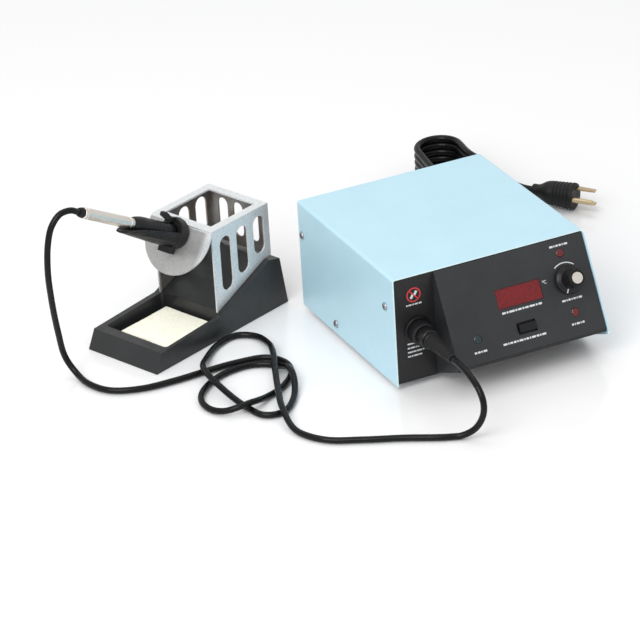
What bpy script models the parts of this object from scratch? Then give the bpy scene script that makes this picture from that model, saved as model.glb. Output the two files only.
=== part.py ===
"""Soldering iron station: a control unit, a stand with its sponge, the iron and the two leads.

Every length below is in millimetres and is turned into metres when a mesh or an empty is made.
The station frame has its origin at the control unit's front left bottom corner: +X runs along its
width, +Y towards its rear and +Z up.
"""
import math

import bmesh
import bpy
import numpy as np
from mathutils import Matrix, Vector

MM = 0.001
GAP = 0.3

# Where the station frame and the stand's frame lie in the shared frame
STATION_AT = (13.05, -113.6, 0.0)
STAND_AT = (-187.45, 205.82, 0.0)
STAND_YAW = math.radians(-67.3)

# Control unit
CASE_WIDTH = 176.0
CASE_DEPTH = 176.0
CASE_HEIGHT = 102.0
CASE_BOTTOM = 4.2
SHEET = 1.2
COVER_LIP = 0.8
BEND_RADIUS = 2.4
WALL = 2.0
PANEL_LEFT = 37.3
PANEL_FOOT_Y = -39.6
PANEL_FOOT_Z = 27.9
PANEL_LIP_Z = 24.8
BEZEL_TOP = 100.1
BEZEL_BOTTOM = 5.9
FLANGE_LOW = 60.0
FLANGE_HIGH = 84.0
INNER_LEFT = SHEET + GAP
INNER_RIGHT = CASE_WIDTH - SHEET - GAP
REAR_OUTER = 174.8
SCREW_PLACES = ((14.3, 72.0), (111.3, 13.5), (169.5, 72.3))
SCREW_HOLE_RADIUS = 1.9
SHAFT_HOLE_RADIUS = 4.8
FOOT_INSET = 20.0
FOOT_RADIUS = 8.2

# Front panel, in its own frame: x along the width, y up the slope from the top edge, z outwards
WINDOW = (85.0, 126.5, -46.5, -30.0)
SWITCH_AT = (105.4, -65.5)
SWITCH_OPENING = (8.6, 5.0)
SWITCH_PIVOT = -3.0
KNOB_AT = (151.0, -37.3)
LAMPS = {"set_mode_lamp": (150.8, -14.6), "heater_lamp": (150.9, -64.6), "power_lamp": (60.2, -64.7)}
LAMP_RADIUS = 3.4

# Round openings in the bay and the rear panel
SOCKET_AT = (21.0, 0.0, 52.0)
SOCKET_RADIUS = 9.6
GLAND_AT = (140.0, REAR_OUTER, 28.0)
FUSE_AT = (110.0, REAR_OUTER, 28.0)
REAR_HOLE_RADIUS = 6.3
POWER_SWITCH_AT = (78.0, REAR_OUTER, 29.0)
VENT_COUNT = 9
VENT_PITCH = 12.0
TRANSFORMER_AT = (60.0, 120.0, 6.2)

# Stand, in its own frame: x across, y from the front to the rear
STAND_WIDTH = 79.5
STAND_LENGTH = 164.0
SIDE_DRAFT = 1.2
STAND_PROFILE = ((0.0, 0.0), (7.9, 16.4), (82.0, 20.0), (145.0, 46.8), (158.0, 43.5), (STAND_LENGTH, 0.0))
TRAY = (6.0, 75.3, 17.0, 85.0)
TRAY_FLOOR = 5.3
SPONGE = (13.0, 74.6, 26.0, 82.6)
SPONGE_TOP = 11.3
CAGE = (5.5, 73.5, 83.1, 152.9)
CAGE_TOP = 96.5
CAGE_SHEET = 1.5
CAGE_RIM = 6.5
CAGE_LIFT = 0.5
SIDE_SLOTS = ((98.5, 36.5, 87.0), (119.0, 44.5, 88.0), (140.0, 54.0, 89.0))
SIDE_SLOT_HALF_WIDTH = 6.8
REAR_SLOTS = (22.0, 39.5, 57.0)
TONGUE_HOLE_RADIUS = 6.6
TONGUE_RADIUS = 35.5
TONGUE_CENTRE = 10.2
TONGUE_TILT = math.radians(57.0)
IRON_RISE = math.radians(30.0)
IRON_U = 39.5
IRON_DROP = 10.0

# Iron, as distances along its axis outwards from the tongue
GRIP_START = 7.1
GRIP_END = 61.0
HANDLE_END = 123.5
HANDLE_RADIUS = 4.9
BOOT_END = 128.5
NUT_END = -9.0
BARREL_END = -44.0
TIP_END = -61.0

# Leads
IRON_CORD_RADIUS = 2.7
MAINS_CORD_RADIUS = 3.25
FLOOR_CLEARANCE = 0.1
IRON_CORD_ROUTE = (
    (-204.1, 156.05, 152.9), (-211.6, 152.9, 157.3), (-221.3, 151.5, 156.9), (-229.7, 150.7, 148.3),
    (-234.5, 150.0, 134.0), (-236.5, 151.2, 110.0), (-233.5, 157.5, 79.0), (-227.5, 166.5, 45.0),
    (-221.5, 171.0, 17.0), (-216.0, 162.0, 4.4), (-213.5, 143.0, 2.9), (-203.0, 123.0, 2.9),
    (-180.0, 112.0, 2.9), (-150.0, 110.0, 2.9), (-120.0, 111.5, 2.9), (-92.0, 111.5, 2.9),
    (-68.0, 106.5, 2.9), (-58.0, 90.0, 2.9), (-62.5, 70.0, 2.9), (-82.0, 50.5, 2.9),
    (-97.0, 43.5, 3.3), (-108.0, 36.2, 6.6), (-118.5, 31.6, 8.9), (-129.5, 32.2, 7.4),
    (-138.0, 38.0, 4.2), (-144.8, 47.5, 2.9), (-146.8, 61.0, 2.9), (-142.0, 75.0, 2.9),
    (-128.0, 89.8, 2.9), (-108.0, 100.0, 2.9), (-84.0, 101.5, 2.9),
    (-67.5, 90.0, 2.9), (-64.5, 66.0, 8.9), (-77.0, 34.0, 3.0), (-97.0, 13.5, 2.9),
    (-112.0, 17.0, 2.9), (-119.5, 41.0, 2.9), (-126.5, 74.0, 8.4), (-125.5, 106.0, 9.3),
    (-112.0, 130.0, 4.4), (-92.0, 150.0, 2.9), (-73.0, 156.5, 2.9), (-59.5, 147.0, 2.9),
    (-57.5, 126.0, 5.2), (-63.5, 103.0, 9.1), (-76.0, 72.0, 8.9), (-90.0, 36.0, 8.9),
    (-99.0, 9.0, 8.8), (-101.5, -20.0, 3.2), (-88.0, -46.0, 2.9), (-62.0, -62.0, 2.9),
    (-34.0, -76.0, 2.9), (-8.0, -91.0, 2.9), (6.0, -97.5, 2.9), (16.0, -104.5, 9.5),
    (21.0, -110.0, 22.0), (22.0, -110.5, 34.0), (21.5, -104.0, 44.0), (21.0, -90.0, 50.0),
    (21.0, -76.0, 52.0), (21.0, -62.2, 52.0),
)
MAINS_CORD_ROUTE = (
    (140.0, 200.3, 28.0), (140.1, 207.0, 27.5), (141.7, 214.2, 25.2), (146.3, 222.2, 20.2),
    (153.8, 228.4, 14.0), (161.8, 231.9, 9.2), (169.0, 235.0, 6.4), (175.6, 239.6, 5.1),
)
MAINS_TAIL_ROUTE = (
    (239.3, 291.9, 31.9), (241.7, 287.8, 29.4), (248.6, 278.8, 21.8), (255.2, 270.2, 15.6),
    (261.2, 262.3, 13.1), (267.15, 254.42, 12.6),
)
HANK_FRONT = (203.0, 236.0)
HANK_RUN = 105.0
HANK_HEADING = math.radians(82.0)
HANK_HALF_WIDTH = 22.9
HANK_BOTTOM = 1.7
HANK_TOP = 38.2
TIE_HALF_LENGTH = 4.0
PLUG_BACK = (267.4, 254.1, 12.6)
PLUG_HEADING = math.radians(-52.6)
PLUG_LENGTH = 41.4
BLADE_LENGTH = 17.5
GROUND_LENGTH = 20.6

# Colours are linear RGB with roughness and metallic value
PAINT = ((0.46, 0.76, 0.84), 0.45, 0.0)
CHARCOAL = ((0.022, 0.023, 0.026), 0.55, 0.0)
BLACK = ((0.012, 0.012, 0.013), 0.4, 0.0)
RUBBER = ((0.016, 0.016, 0.016), 0.7, 0.0)
STEEL = ((0.45, 0.47, 0.50), 0.35, 1.0)
ZINC = ((0.36, 0.39, 0.44), 0.45, 1.0)
SILVER = ((0.70, 0.69, 0.66), 0.25, 1.0)
BRASS = ((0.62, 0.40, 0.14), 0.3, 1.0)
COPPER = ((0.50, 0.20, 0.08), 0.35, 1.0)
IRON_CORE = ((0.10, 0.10, 0.11), 0.5, 0.8)
BOARD = ((0.02, 0.16, 0.06), 0.5, 0.0)
DARK_RED = ((0.16, 0.012, 0.010), 0.15, 0.0)
RED = ((0.55, 0.03, 0.02), 0.25, 0.0)
TEAL = ((0.05, 0.22, 0.20), 0.25, 0.0)
GREY = ((0.07, 0.07, 0.075), 0.5, 0.0)
SPONGE_YELLOW = ((0.80, 0.76, 0.50), 0.95, 0.0)


def clear_scene():
    """Remove whatever the scene holds."""
    for item in list(bpy.data.objects):
        bpy.data.objects.remove(item)


def in_metres(values):
    """The given millimetre coordinates as a vector in metres."""
    return Vector(values) * MM


def add_empty(name, parent=None, at=(0.0, 0.0, 0.0), turn=(0.0, 0.0, 0.0)):
    """An empty that carries the pieces of one frame."""
    empty = bpy.data.objects.new(name, None)
    bpy.context.scene.collection.objects.link(empty)
    empty.parent = parent
    empty.location = in_metres(at)
    empty.rotation_euler = turn
    return empty


def make_material(name, look):
    """One Principled material."""
    colour, roughness, metallic = look
    material = bpy.data.materials.new(name)
    material.use_nodes = True
    shader = material.node_tree.nodes["Principled BSDF"]
    shader.inputs["Base Color"].default_value = (*colour, 1.0)
    shader.inputs["Roughness"].default_value = roughness
    shader.inputs["Metallic"].default_value = metallic
    return material


def add_piece(name, shape, look, parent, at=(0.0, 0.0, 0.0), turn=(0.0, 0.0, 0.0)):
    """Turn a bmesh in millimetres into a named object with its own material."""
    bmesh.ops.recalc_face_normals(shape, faces=shape.faces)
    shape.transform(Matrix.Scale(MM, 4))
    mesh = bpy.data.meshes.new(name)
    shape.to_mesh(mesh)
    shape.free()
    piece = bpy.data.objects.new(name, mesh)
    bpy.context.scene.collection.objects.link(piece)
    piece.parent = parent
    piece.location = in_metres(at)
    piece.rotation_euler = turn
    if look is not None:
        mesh.materials.append(make_material(name, look))
        mesh.shade_smooth()
        mesh.set_sharp_from_angle(angle=math.radians(35))
    return piece


def combine(piece, other, operation):
    """Join or cut piece with another object, and drop that object."""
    modifier = piece.modifiers.new(operation.lower(), "BOOLEAN")
    modifier.operation = operation
    modifier.solver = "EXACT"
    modifier.object = other
    bpy.context.view_layer.update()
    graph = bpy.context.evaluated_depsgraph_get()
    result = bpy.data.meshes.new_from_object(piece.evaluated_get(graph))
    piece.modifiers.clear()
    piece.data = result
    bpy.data.objects.remove(other)


def join(piece, shape, at=(0.0, 0.0, 0.0), turn=(0.0, 0.0, 0.0)):
    """Add a shape to a piece, both in the frame of the piece's parent."""
    combine(piece, add_piece("addition", shape, None, piece.parent, at, turn), "UNION")


def cut(piece, shape, frame=None, at=(0.0, 0.0, 0.0), turn=(0.0, 0.0, 0.0)):
    """Cut a shape out of a piece, in the given frame or in that of the piece's parent."""
    combine(piece, add_piece("cutter", shape, None, frame or piece.parent, at, turn), "DIFFERENCE")


def box(x_low, x_high, y_low, y_high, z_low, z_high):
    """A box between two corners."""
    shape = bmesh.new()
    size = (x_high - x_low, y_high - y_low, z_high - z_low)
    middle = ((x_low + x_high) / 2, (y_low + y_high) / 2, (z_low + z_high) / 2)
    matrix = Matrix.Translation(middle) @ Matrix.Diagonal((*size, 1.0))
    bmesh.ops.create_cube(shape, size=1.0, matrix=matrix)
    return shape


def prism(outline, low, high, axis="Z"):
    """Extrude an outline along one axis; its points are the other two coordinates in XYZ order."""
    place = {
        "X": lambda point, level: (level, point[0], point[1]),
        "Y": lambda point, level: (point[0], level, point[1]),
        "Z": lambda point, level: (point[0], point[1], level),
    }[axis]
    shape = bmesh.new()
    first = [shape.verts.new(place(point, low)) for point in outline]
    second = [shape.verts.new(place(point, high)) for point in outline]
    shape.faces.new(first)
    shape.faces.new(list(reversed(second)))
    count = len(outline)
    for index in range(count):
        after = (index + 1) % count
        shape.faces.new((first[index], second[index], second[after], first[after]))
    return shape


def turned(profile, segments=24, ring=False):
    """Revolve (radius, height) points round Z; a ring's profile closes on itself."""
    shape = bmesh.new()
    rows = []
    for radius, height in profile:
        if radius < 1e-6:
            rows.append([shape.verts.new((0.0, 0.0, height))])
            continue
        row = []
        for index in range(segments):
            angle = math.tau * index / segments
            row.append(shape.verts.new((radius * math.cos(angle), radius * math.sin(angle), height)))
        rows.append(row)
    pairs = list(zip(rows, rows[1:]))
    if ring:
        pairs.append((rows[-1], rows[0]))
    for lower, upper in pairs:
        for index in range(segments):
            after = (index + 1) % segments
            corners = [lower[index % len(lower)], lower[after % len(lower)]]
            corners += [upper[after % len(upper)], upper[index % len(upper)]]
            corners = list(dict.fromkeys(corners))
            if len(corners) > 2:
                shape.faces.new(corners)
    return shape


def arc(centre, radius, start, end, steps):
    """Points along an arc, angles in degrees."""
    points = []
    for index in range(steps + 1):
        angle = math.radians(start + (end - start) * index / steps)
        points.append((centre[0] + radius * math.cos(angle), centre[1] + radius * math.sin(angle)))
    return points


def stadium(centre, half_width, half_length, steps=8):
    """An upright slot outline with round ends."""
    reach = half_length - half_width
    upper = arc((centre[0], centre[1] + reach), half_width, 0, 180, steps)
    lower = arc((centre[0], centre[1] - reach), half_width, 180, 360, steps)
    return upper + lower


def rounded(shape, width, segments=2, keep=None):
    """Round the sharp edges of a shape, or those that keep accepts."""
    edges = [edge for edge in shape.edges if edge.calc_face_angle(0.0) > math.radians(30)]
    if keep is not None:
        edges = [edge for edge in edges if keep(edge)]
    bmesh.ops.bevel(shape, geom=edges, offset=width, segments=segments, affect="EDGES", profile=0.5)
    return shape


def smooth_route(route, samples):
    """Even samples of a centripetal Catmull-Rom curve through the route's points."""
    points = np.array(route, dtype=float)
    points = np.vstack([2 * points[0] - points[1], points, 2 * points[-1] - points[-2]])
    dense = []
    for index in range(1, len(points) - 2):
        a, b, c, d = points[index - 1:index + 3]
        t1 = math.sqrt(np.linalg.norm(b - a))
        t2 = t1 + math.sqrt(np.linalg.norm(c - b))
        t3 = t2 + math.sqrt(np.linalg.norm(d - c))
        for t in np.linspace(t1, t2, 24, endpoint=False):
            ab = (t1 - t) / t1 * a + t / t1 * b
            bc = (t2 - t) / (t2 - t1) * b + (t - t1) / (t2 - t1) * c
            cd = (t3 - t) / (t3 - t2) * c + (t - t2) / (t3 - t2) * d
            abc = (t2 - t) / t2 * ab + t / t2 * bc
            bcd = (t3 - t) / (t3 - t1) * bc + (t - t1) / (t3 - t1) * cd
            dense.append((t2 - t) / (t2 - t1) * abc + (t - t1) / (t2 - t1) * bcd)
    dense.append(points[-2])
    dense = np.array(dense)
    along = np.concatenate([[0.0], np.cumsum(np.linalg.norm(np.diff(dense, axis=0), axis=1))])
    even = np.linspace(0.0, along[-1], samples)
    return np.column_stack([np.interp(even, along, dense[:, axis]) for axis in range(3)])


def add_cord(name, route, radius, samples, parent):
    """A lead as a round tube along its route, no lower than the surface it lies on."""
    points = smooth_route(route, samples)
    points[:, 2] = np.maximum(points[:, 2], radius + FLOOR_CLEARANCE)
    curve = bpy.data.curves.new(name, "CURVE")
    curve.dimensions = "3D"
    curve.bevel_depth = radius * MM
    curve.bevel_resolution = 2
    curve.use_fill_caps = True
    spline = curve.splines.new("POLY")
    spline.points.add(len(points) - 1)
    for target, point in zip(spline.points, points):
        target.co = (*in_metres(point), 1.0)
    cord = bpy.data.objects.new(name, curve)
    bpy.context.scene.collection.objects.link(cord)
    cord.parent = parent
    curve.materials.append(make_material(name, BLACK))
    return cord


def station_cover(station):
    """U-shaped sheet cover whose right side runs forward beside the sloping panel."""
    lower, upper = CASE_BOTTOM, CASE_HEIGHT
    inner = BEND_RADIUS - SHEET
    left_bend = (BEND_RADIUS, upper - BEND_RADIUS)
    right_bend = (CASE_WIDTH - BEND_RADIUS, upper - BEND_RADIUS)
    outline = [(0.0, lower)] + arc(left_bend, BEND_RADIUS, 180, 90, 3)
    outline += arc(right_bend, BEND_RADIUS, 90, 0, 3) + [(CASE_WIDTH, lower)]
    outline += [(CASE_WIDTH - SHEET, lower)] + arc(right_bend, inner, 0, 90, 3)
    outline += arc(left_bend, inner, 90, 180, 3) + [(SHEET, lower)]
    cover = add_piece("cover", prism(outline, -COVER_LIP, CASE_DEPTH, "Y"), PAINT, station)
    top = upper - BEND_RADIUS
    wing = ((3.0, top), (-2.6, top), (-41.9, 26.0), (-41.3, 22.6), (0.0, lower), (3.0, lower))
    join(cover, prism(wing, CASE_WIDTH - SHEET, CASE_WIDTH, "X"))
    drill_screw_holes(cover, SCREW_PLACES)


def drill_screw_holes(piece, places):
    """Clearance holes for the cover's screws through both sides of a piece."""
    profile = ((0.0, -4.0), (SCREW_HOLE_RADIUS, -4.0), (SCREW_HOLE_RADIUS, 4.0), (0.0, 4.0))
    for y, z in places:
        for x in (1.0, CASE_WIDTH - 1.0):
            cut(piece, turned(profile, 12), at=(x, y, z), turn=(0.0, math.pi / 2, 0.0))


def chassis_pan(station):
    """Flat base pan with a tab up each side."""
    low = CASE_BOTTOM + 0.4
    pan = add_piece("chassis_pan", box(INNER_LEFT, INNER_RIGHT, 3.0, 173.2, low, low + SHEET), ZINC, station)
    join(pan, box(INNER_LEFT, INNER_LEFT + SHEET, 90.0, 132.0, low + 0.1, 24.0))
    join(pan, box(INNER_RIGHT - SHEET, INNER_RIGHT, 90.0, 132.0, low + 0.1, 24.0))
    drill_screw_holes(pan, SCREW_PLACES[1:2])


def rear_panel(station):
    """Rear panel with vents, round holes for the gland and fuse and a cut-out for the switch."""
    inner = REAR_OUTER - SHEET
    plate = box(INNER_LEFT, INNER_RIGHT, inner, REAR_OUTER, 6.2, BEZEL_TOP)
    panel = add_piece("rear_panel", plate, CHARCOAL, station)
    join(panel, box(INNER_LEFT, INNER_LEFT + SHEET, 160.0, inner + 0.5, FLANGE_LOW, FLANGE_HIGH))
    join(panel, box(INNER_RIGHT - SHEET, INNER_RIGHT, 160.0, inner + 0.5, FLANGE_LOW, FLANGE_HIGH))
    drill_screw_holes(panel, SCREW_PLACES[2:])
    hole = ((0.0, -6.0), (REAR_HOLE_RADIUS, -6.0), (REAR_HOLE_RADIUS, 6.0), (0.0, 6.0))
    for place in (GLAND_AT, FUSE_AT):
        cut(panel, turned(hole, 24), at=place, turn=(math.pi / 2, 0.0, 0.0))
    x, y, z = POWER_SWITCH_AT
    cut(panel, box(x - 11.7, x + 11.7, y - 6.0, y + 6.0, z - 7.7, z + 7.7))
    for index in range(VENT_COUNT):
        slot = stadium((40.0 + VENT_PITCH * index, 72.0), 1.5, 16.0, 4)
        cut(panel, prism(slot, inner - 4.0, REAR_OUTER + 4.0, "Y"))


def front_bezel(station, panel):
    """Moulded front: an upright bay on the left and a wedge that carries the sloping panel."""
    slope = (PANEL_FOOT_Z - CASE_HEIGHT) / PANEL_FOOT_Y
    top_y = (BEZEL_TOP - CASE_HEIGHT) / slope
    inner_top_y = (BEZEL_TOP - WALL - CASE_HEIGHT) / slope + WALL / math.cos(math.atan(1 / slope))
    front = [(2.2, BEZEL_TOP), (top_y, BEZEL_TOP), (PANEL_FOOT_Y, PANEL_FOOT_Z)]
    front += [(PANEL_FOOT_Y, PANEL_LIP_Z), (2.2, BEZEL_BOTTOM)]
    back = [(2.2, BEZEL_BOTTOM + 2.2), (PANEL_FOOT_Y + WALL, PANEL_LIP_Z + 1.4)]
    back += [(PANEL_FOOT_Y + WALL, PANEL_FOOT_Z + 0.5), (inner_top_y, BEZEL_TOP - WALL)]
    back += [(2.2, BEZEL_TOP - WALL)]
    bezel = add_piece("front_bezel", prism(front + back, PANEL_LEFT, INNER_RIGHT, "X"), CHARCOAL, station)
    join(bezel, prism(front, PANEL_LEFT, PANEL_LEFT + WALL, "X"))
    join(bezel, box(INNER_LEFT, PANEL_LEFT + 1.2, 0.2, 2.2, BEZEL_BOTTOM, BEZEL_TOP))
    join(bezel, box(INNER_LEFT, INNER_LEFT + 1.8, 1.5, 22.0, FLANGE_LOW, FLANGE_HIGH))
    join(bezel, box(INNER_RIGHT - 1.8, INNER_RIGHT, -8.4, 22.0, FLANGE_LOW, FLANGE_HIGH))
    drill_screw_holes(bezel, SCREW_PLACES[:1])
    cut(bezel, box(*WINDOW, -6.0, 4.0), panel)
    x, y = SWITCH_AT
    across, along = SWITCH_OPENING
    cut(bezel, box(x - across, x + across, y - along, y + along, -6.0, 4.0), panel)
    lamp_hole = ((0.0, -6.0), (LAMP_RADIUS + GAP, -6.0), (LAMP_RADIUS + GAP, 4.0), (0.0, 4.0))
    for x, y in LAMPS.values():
        cut(bezel, turned(lamp_hole, 16), panel, at=(x, y, 0.0))
    shaft_hole = ((0.0, -6.0), (SHAFT_HOLE_RADIUS, -6.0), (SHAFT_HOLE_RADIUS, 4.0), (0.0, 4.0))
    cut(bezel, turned(shaft_hole, 16), panel, at=(*KNOB_AT, 0.0))
    radius = SOCKET_RADIUS + GAP
    socket_hole = ((0.0, -6.0), (radius, -6.0), (radius, 6.0), (0.0, 6.0))
    cut(bezel, turned(socket_hole, 24), at=SOCKET_AT, turn=(math.pi / 2, 0.0, 0.0))


def display(panel):
    """Tinted window, the digit module behind it and the control board."""
    x_low, x_high, y_low, y_high = WINDOW
    window = box(x_low + GAP, x_high - GAP, y_low + GAP, y_high - GAP, -1.8, -0.3)
    add_piece("display_window", window, DARK_RED, panel)
    module = box(x_low - 1.0, x_high + 1.0, y_low - 1.5, y_high + 1.5, -10.4, -2.4)
    add_piece("display_module", module, GREY, panel)
    add_piece("control_board", box(62.0, 138.0, -58.0, -18.0, -12.4, -10.8), BOARD, panel)


def lamps(panel):
    """Low indicator lenses in their holes."""
    profile = ((0.0, -6.0), (LAMP_RADIUS, -6.0), (LAMP_RADIUS, 0.2), (LAMP_RADIUS - 0.5, 0.6), (0.0, 0.8))
    for name, (x, y) in LAMPS.items():
        add_piece(name, turned(profile, 16), TEAL if name == "power_lamp" else RED, panel, at=(x, y, 0.0))


def knob_set(panel):
    """Potentiometer, its shaft, the skirted knob and the knob's metal cap."""
    at = (*KNOB_AT, 0.0)
    body = ((3.3, -14.0), (8.5, -14.0), (8.5, -2.6), (4.4, -2.6), (4.4, 2.4), (3.3, 2.4))
    add_piece("pot_body", turned(body, 20, ring=True), GREY, panel, at)
    shaft = ((0.0, -13.5), (3.0, -13.5), (3.0, 13.0), (0.0, 13.0))
    add_piece("knob_shaft", turned(shaft, 16), STEEL, panel, at)
    outside = [(0.0, 1.6), (11.8, 1.6), (12.0, 2.4), (11.0, 4.6), (7.9, 5.4), (7.5, 19.2), (7.1, 19.6)]
    recess = [(5.2, 19.6), (5.2, 18.4), (0.0, 18.4)]
    knob = add_piece("knob", turned(outside + recess, 24), BLACK, panel, at)
    bore = ((0.0, 13.4), (3.3, 13.4), (3.3, 4.6), (4.8, 4.6), (4.8, 0.0), (0.0, 0.0))
    cut(knob, turned(bore, 24), at=at)
    cap = ((0.0, 18.7), (4.9, 18.7), (4.9, 20.0), (4.5, 20.4), (0.0, 20.4))
    add_piece("knob_cap", turned(cap, 24), SILVER, panel, at)


def rocker_shape(half_length, half_width, crown):
    """A rocker seen from the side: a shallow V on top of a body that narrows downwards."""
    outline = [(-half_length, crown), (0.0, crown - 1.1), (half_length, crown)]
    outline += [(half_length - 0.25, 1.5), (half_length - 1.9, -3.0), (1.9 - half_length, -3.0)]
    outline += [(0.25 - half_length, 1.5)]
    return prism(outline, -half_width, half_width, "Y")


def mode_switch(panel):
    """Front rocker switch in its pocket."""
    x, y = SWITCH_AT
    block = box(x - 10.2, x + 10.2, y - 6.6, y + 6.6, -9.0, -2.4)
    body = add_piece("mode_switch_body", block, BLACK, panel)
    cut(body, box(x - 8.5, x + 8.5, y - 3.7, y + 3.7, -7.0, 0.0))
    add_piece("mode_switch_button", rocker_shape(7.85, 3.3, 5.5), GREY, panel, at=(x, y, SWITCH_PIVOT))


def power_switch(rear):
    """Rocker power switch on the rear panel, in a frame whose z points backwards."""
    body = add_piece("power_switch_body", box(-11.3, 11.3, -7.3, 7.3, -14.0, 1.0), BLACK, rear)
    join(body, box(-13.2, 13.2, -9.2, 9.2, GAP, 2.2))
    cut(body, box(-9.8, 9.8, -5.6, 5.6, -6.0, 4.0))
    add_piece("power_rocker", rocker_shape(9.3, 5.2, 5.2), GREY, rear, at=(0.0, 0.0, -1.0))


def transformer(station):
    """Laminated core with two windows and the winding round its middle leg."""
    x, y, low = TRANSFORMER_AT
    stack = box(x - 32, x + 32, y - 15, y + 15, low, low + 54)
    core = add_piece("transformer_core", stack, IRON_CORE, station)
    for side in (-15.75, 15.75):
        cut(core, box(x + side - 5.25, x + side + 5.25, y - 20, y + 20, low + 10, low + 44))
    coil_box = box(x - 20.7, x + 20.7, y - 24, y + 24, low + 10.3, low + 43.7)
    coil = add_piece("transformer_coil", coil_box, COPPER, station)
    cut(coil, box(x - 10.8, x + 10.8, y - 15.3, y + 15.3, low, low + 54))


def feet(station):
    """Four rubber feet under the pan."""
    profile = ((0.0, 0.0), (FOOT_RADIUS - 0.8, 0.0), (FOOT_RADIUS, 4.3), (0.0, 4.3))
    far_x = CASE_WIDTH - FOOT_INSET
    far_y = CASE_DEPTH - FOOT_INSET
    corners = ((FOOT_INSET, FOOT_INSET), (far_x, FOOT_INSET), (FOOT_INSET, far_y), (far_x, far_y))
    for index, (x, y) in enumerate(corners, start=1):
        add_piece(f"foot_{index}", turned(profile, 16), RUBBER, station, at=(x, y, 0.0))


def cover_screws(station):
    """Pan head screws through the cover's sides."""
    profile = ((0.0, -4.0), (1.5, -4.0), (1.5, 0.15), (3.5, 0.15), (3.4, 0.9), (2.3, 1.8), (0.0, 2.1))
    for side, x, turn in (("left", 0.0, -math.pi / 2), ("right", CASE_WIDTH, math.pi / 2)):
        for index, (y, z) in enumerate(SCREW_PLACES, start=1):
            name = f"cover_screw_{side}_{index}"
            add_piece(name, turned(profile, 14), STEEL, station, at=(x, y, z), turn=(0.0, turn, 0.0))


def ribs(start, pitch, count, radius, taper, depth):
    """Profile of evenly spaced ribs, each narrower than the one before by the taper."""
    points = []
    for index in range(count):
        low = start + pitch * index
        reach = radius - taper * index
        points += [(reach, low), (reach, low + 0.5 * pitch)]
        points += [(reach - depth, low + 0.62 * pitch), (reach - depth, low + 0.88 * pitch)]
    return points


def socket_and_plug(socket):
    """Panel socket, the iron's plug with its lock ring and ribbed boot; z points out of the bay."""
    shell = ((0.0, -12.0), (9.6, -12.0), (9.6, 0.1), (11.8, 0.1), (11.8, 2.0), (11.2, 2.5), (7.9, 2.5))
    add_piece("iron_socket", turned([*shell, (7.9, -9.5), (0.0, -9.5)], 24), BLACK, socket)
    plug = ((0.0, -9.0), (7.4, -9.0), (7.4, 13.6), (8.4, 14.4), (8.4, 22.8), (7.4, 23.6), (0.0, 23.6))
    add_piece("plug_shell", turned(plug, 24), GREY, socket)
    ring = ((7.8, 2.9), (9.6, 2.9), (10.2, 3.5), (10.2, 12.6), (9.6, 13.2), (7.8, 13.2))
    add_piece("plug_ring", turned(ring, 24, ring=True), GREY, socket)
    boot = [(0.0, 23.9), (6.6, 23.9), *ribs(26.0, 3.6, 9, 6.6, 0.28, 0.8)]
    add_piece("plug_boot", turned([*boot, (3.9, 60.0), (3.5, 61.9), (0.0, 61.9)], 16), RUBBER, socket)


def rear_fittings(gland, fuse):
    """Mains strain relief and the fuse holder with its cap; z points backwards."""
    grip = [(0.0, -7.0), (6.0, -7.0), (6.0, GAP), (8.2, GAP), (8.2, 3.2), (6.2, 4.2)]
    grip += ribs(6.0, 4.6, 4, 5.9, 0.45, 0.7)
    add_piece("mains_gland", turned([*grip, (3.7, 25.1), (0.0, 25.1)], 20), RUBBER, gland)
    shell = [(0.0, -14.0), (6.0, -14.0), (6.0, GAP), (7.8, GAP), (7.8, 2.2), (5.5, 2.2)]
    add_piece("fuse_holder", turned([*shell, (5.5, -11.5), (0.0, -11.5)], 20), BLACK, fuse)
    profile = ((0.0, -11.0), (5.1, -11.0), (5.1, 2.5), (6.9, 2.5), (6.6, 8.0), (0.0, 8.0))
    cap = add_piece("fuse_cap", turned(profile, 20), GREY, fuse)
    cut(cap, box(-8.0, 8.0, -0.7, 0.7, 6.6, 10.0))


def stand_base(stand):
    """Weighted moulded base: a low tray in front and a hump that carries the cage."""
    shape = prism(STAND_PROFILE, 0.0, STAND_WIDTH, "X")
    peak = max(z for _, z in STAND_PROFILE)
    for vertex in shape.verts:
        inset = SIDE_DRAFT * vertex.co.z / peak
        vertex.co.x += inset if vertex.co.x < STAND_WIDTH / 2 else -inset
    rounded(shape, 1.2, 2, lambda edge: min(vertex.co.z for vertex in edge.verts) > 1.0)
    base = add_piece("stand_base", shape, CHARCOAL, stand)
    tray = box(*TRAY, TRAY_FLOOR, 40.0)
    upright = [edge for edge in tray.edges if abs(edge.verts[0].co.z - edge.verts[1].co.z) > 1.0]
    bmesh.ops.bevel(tray, geom=upright, offset=3.0, segments=3, affect="EDGES", profile=0.5)
    cut(base, tray)


def sponge(stand):
    """Cleaning sponge in the tray."""
    pad = rounded(box(*SPONGE, TRAY_FLOOR + GAP, SPONGE_TOP), 1.0, 2)
    add_piece("sponge", pad, SPONGE_YELLOW, stand)


def hump_height(y):
    """Height of the stand's top surface behind the tray."""
    (y_low, z_low), (y_high, z_high) = STAND_PROFILE[2], STAND_PROFILE[3]
    return z_low + (z_high - z_low) * (y - y_low) / (y_high - y_low)


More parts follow.
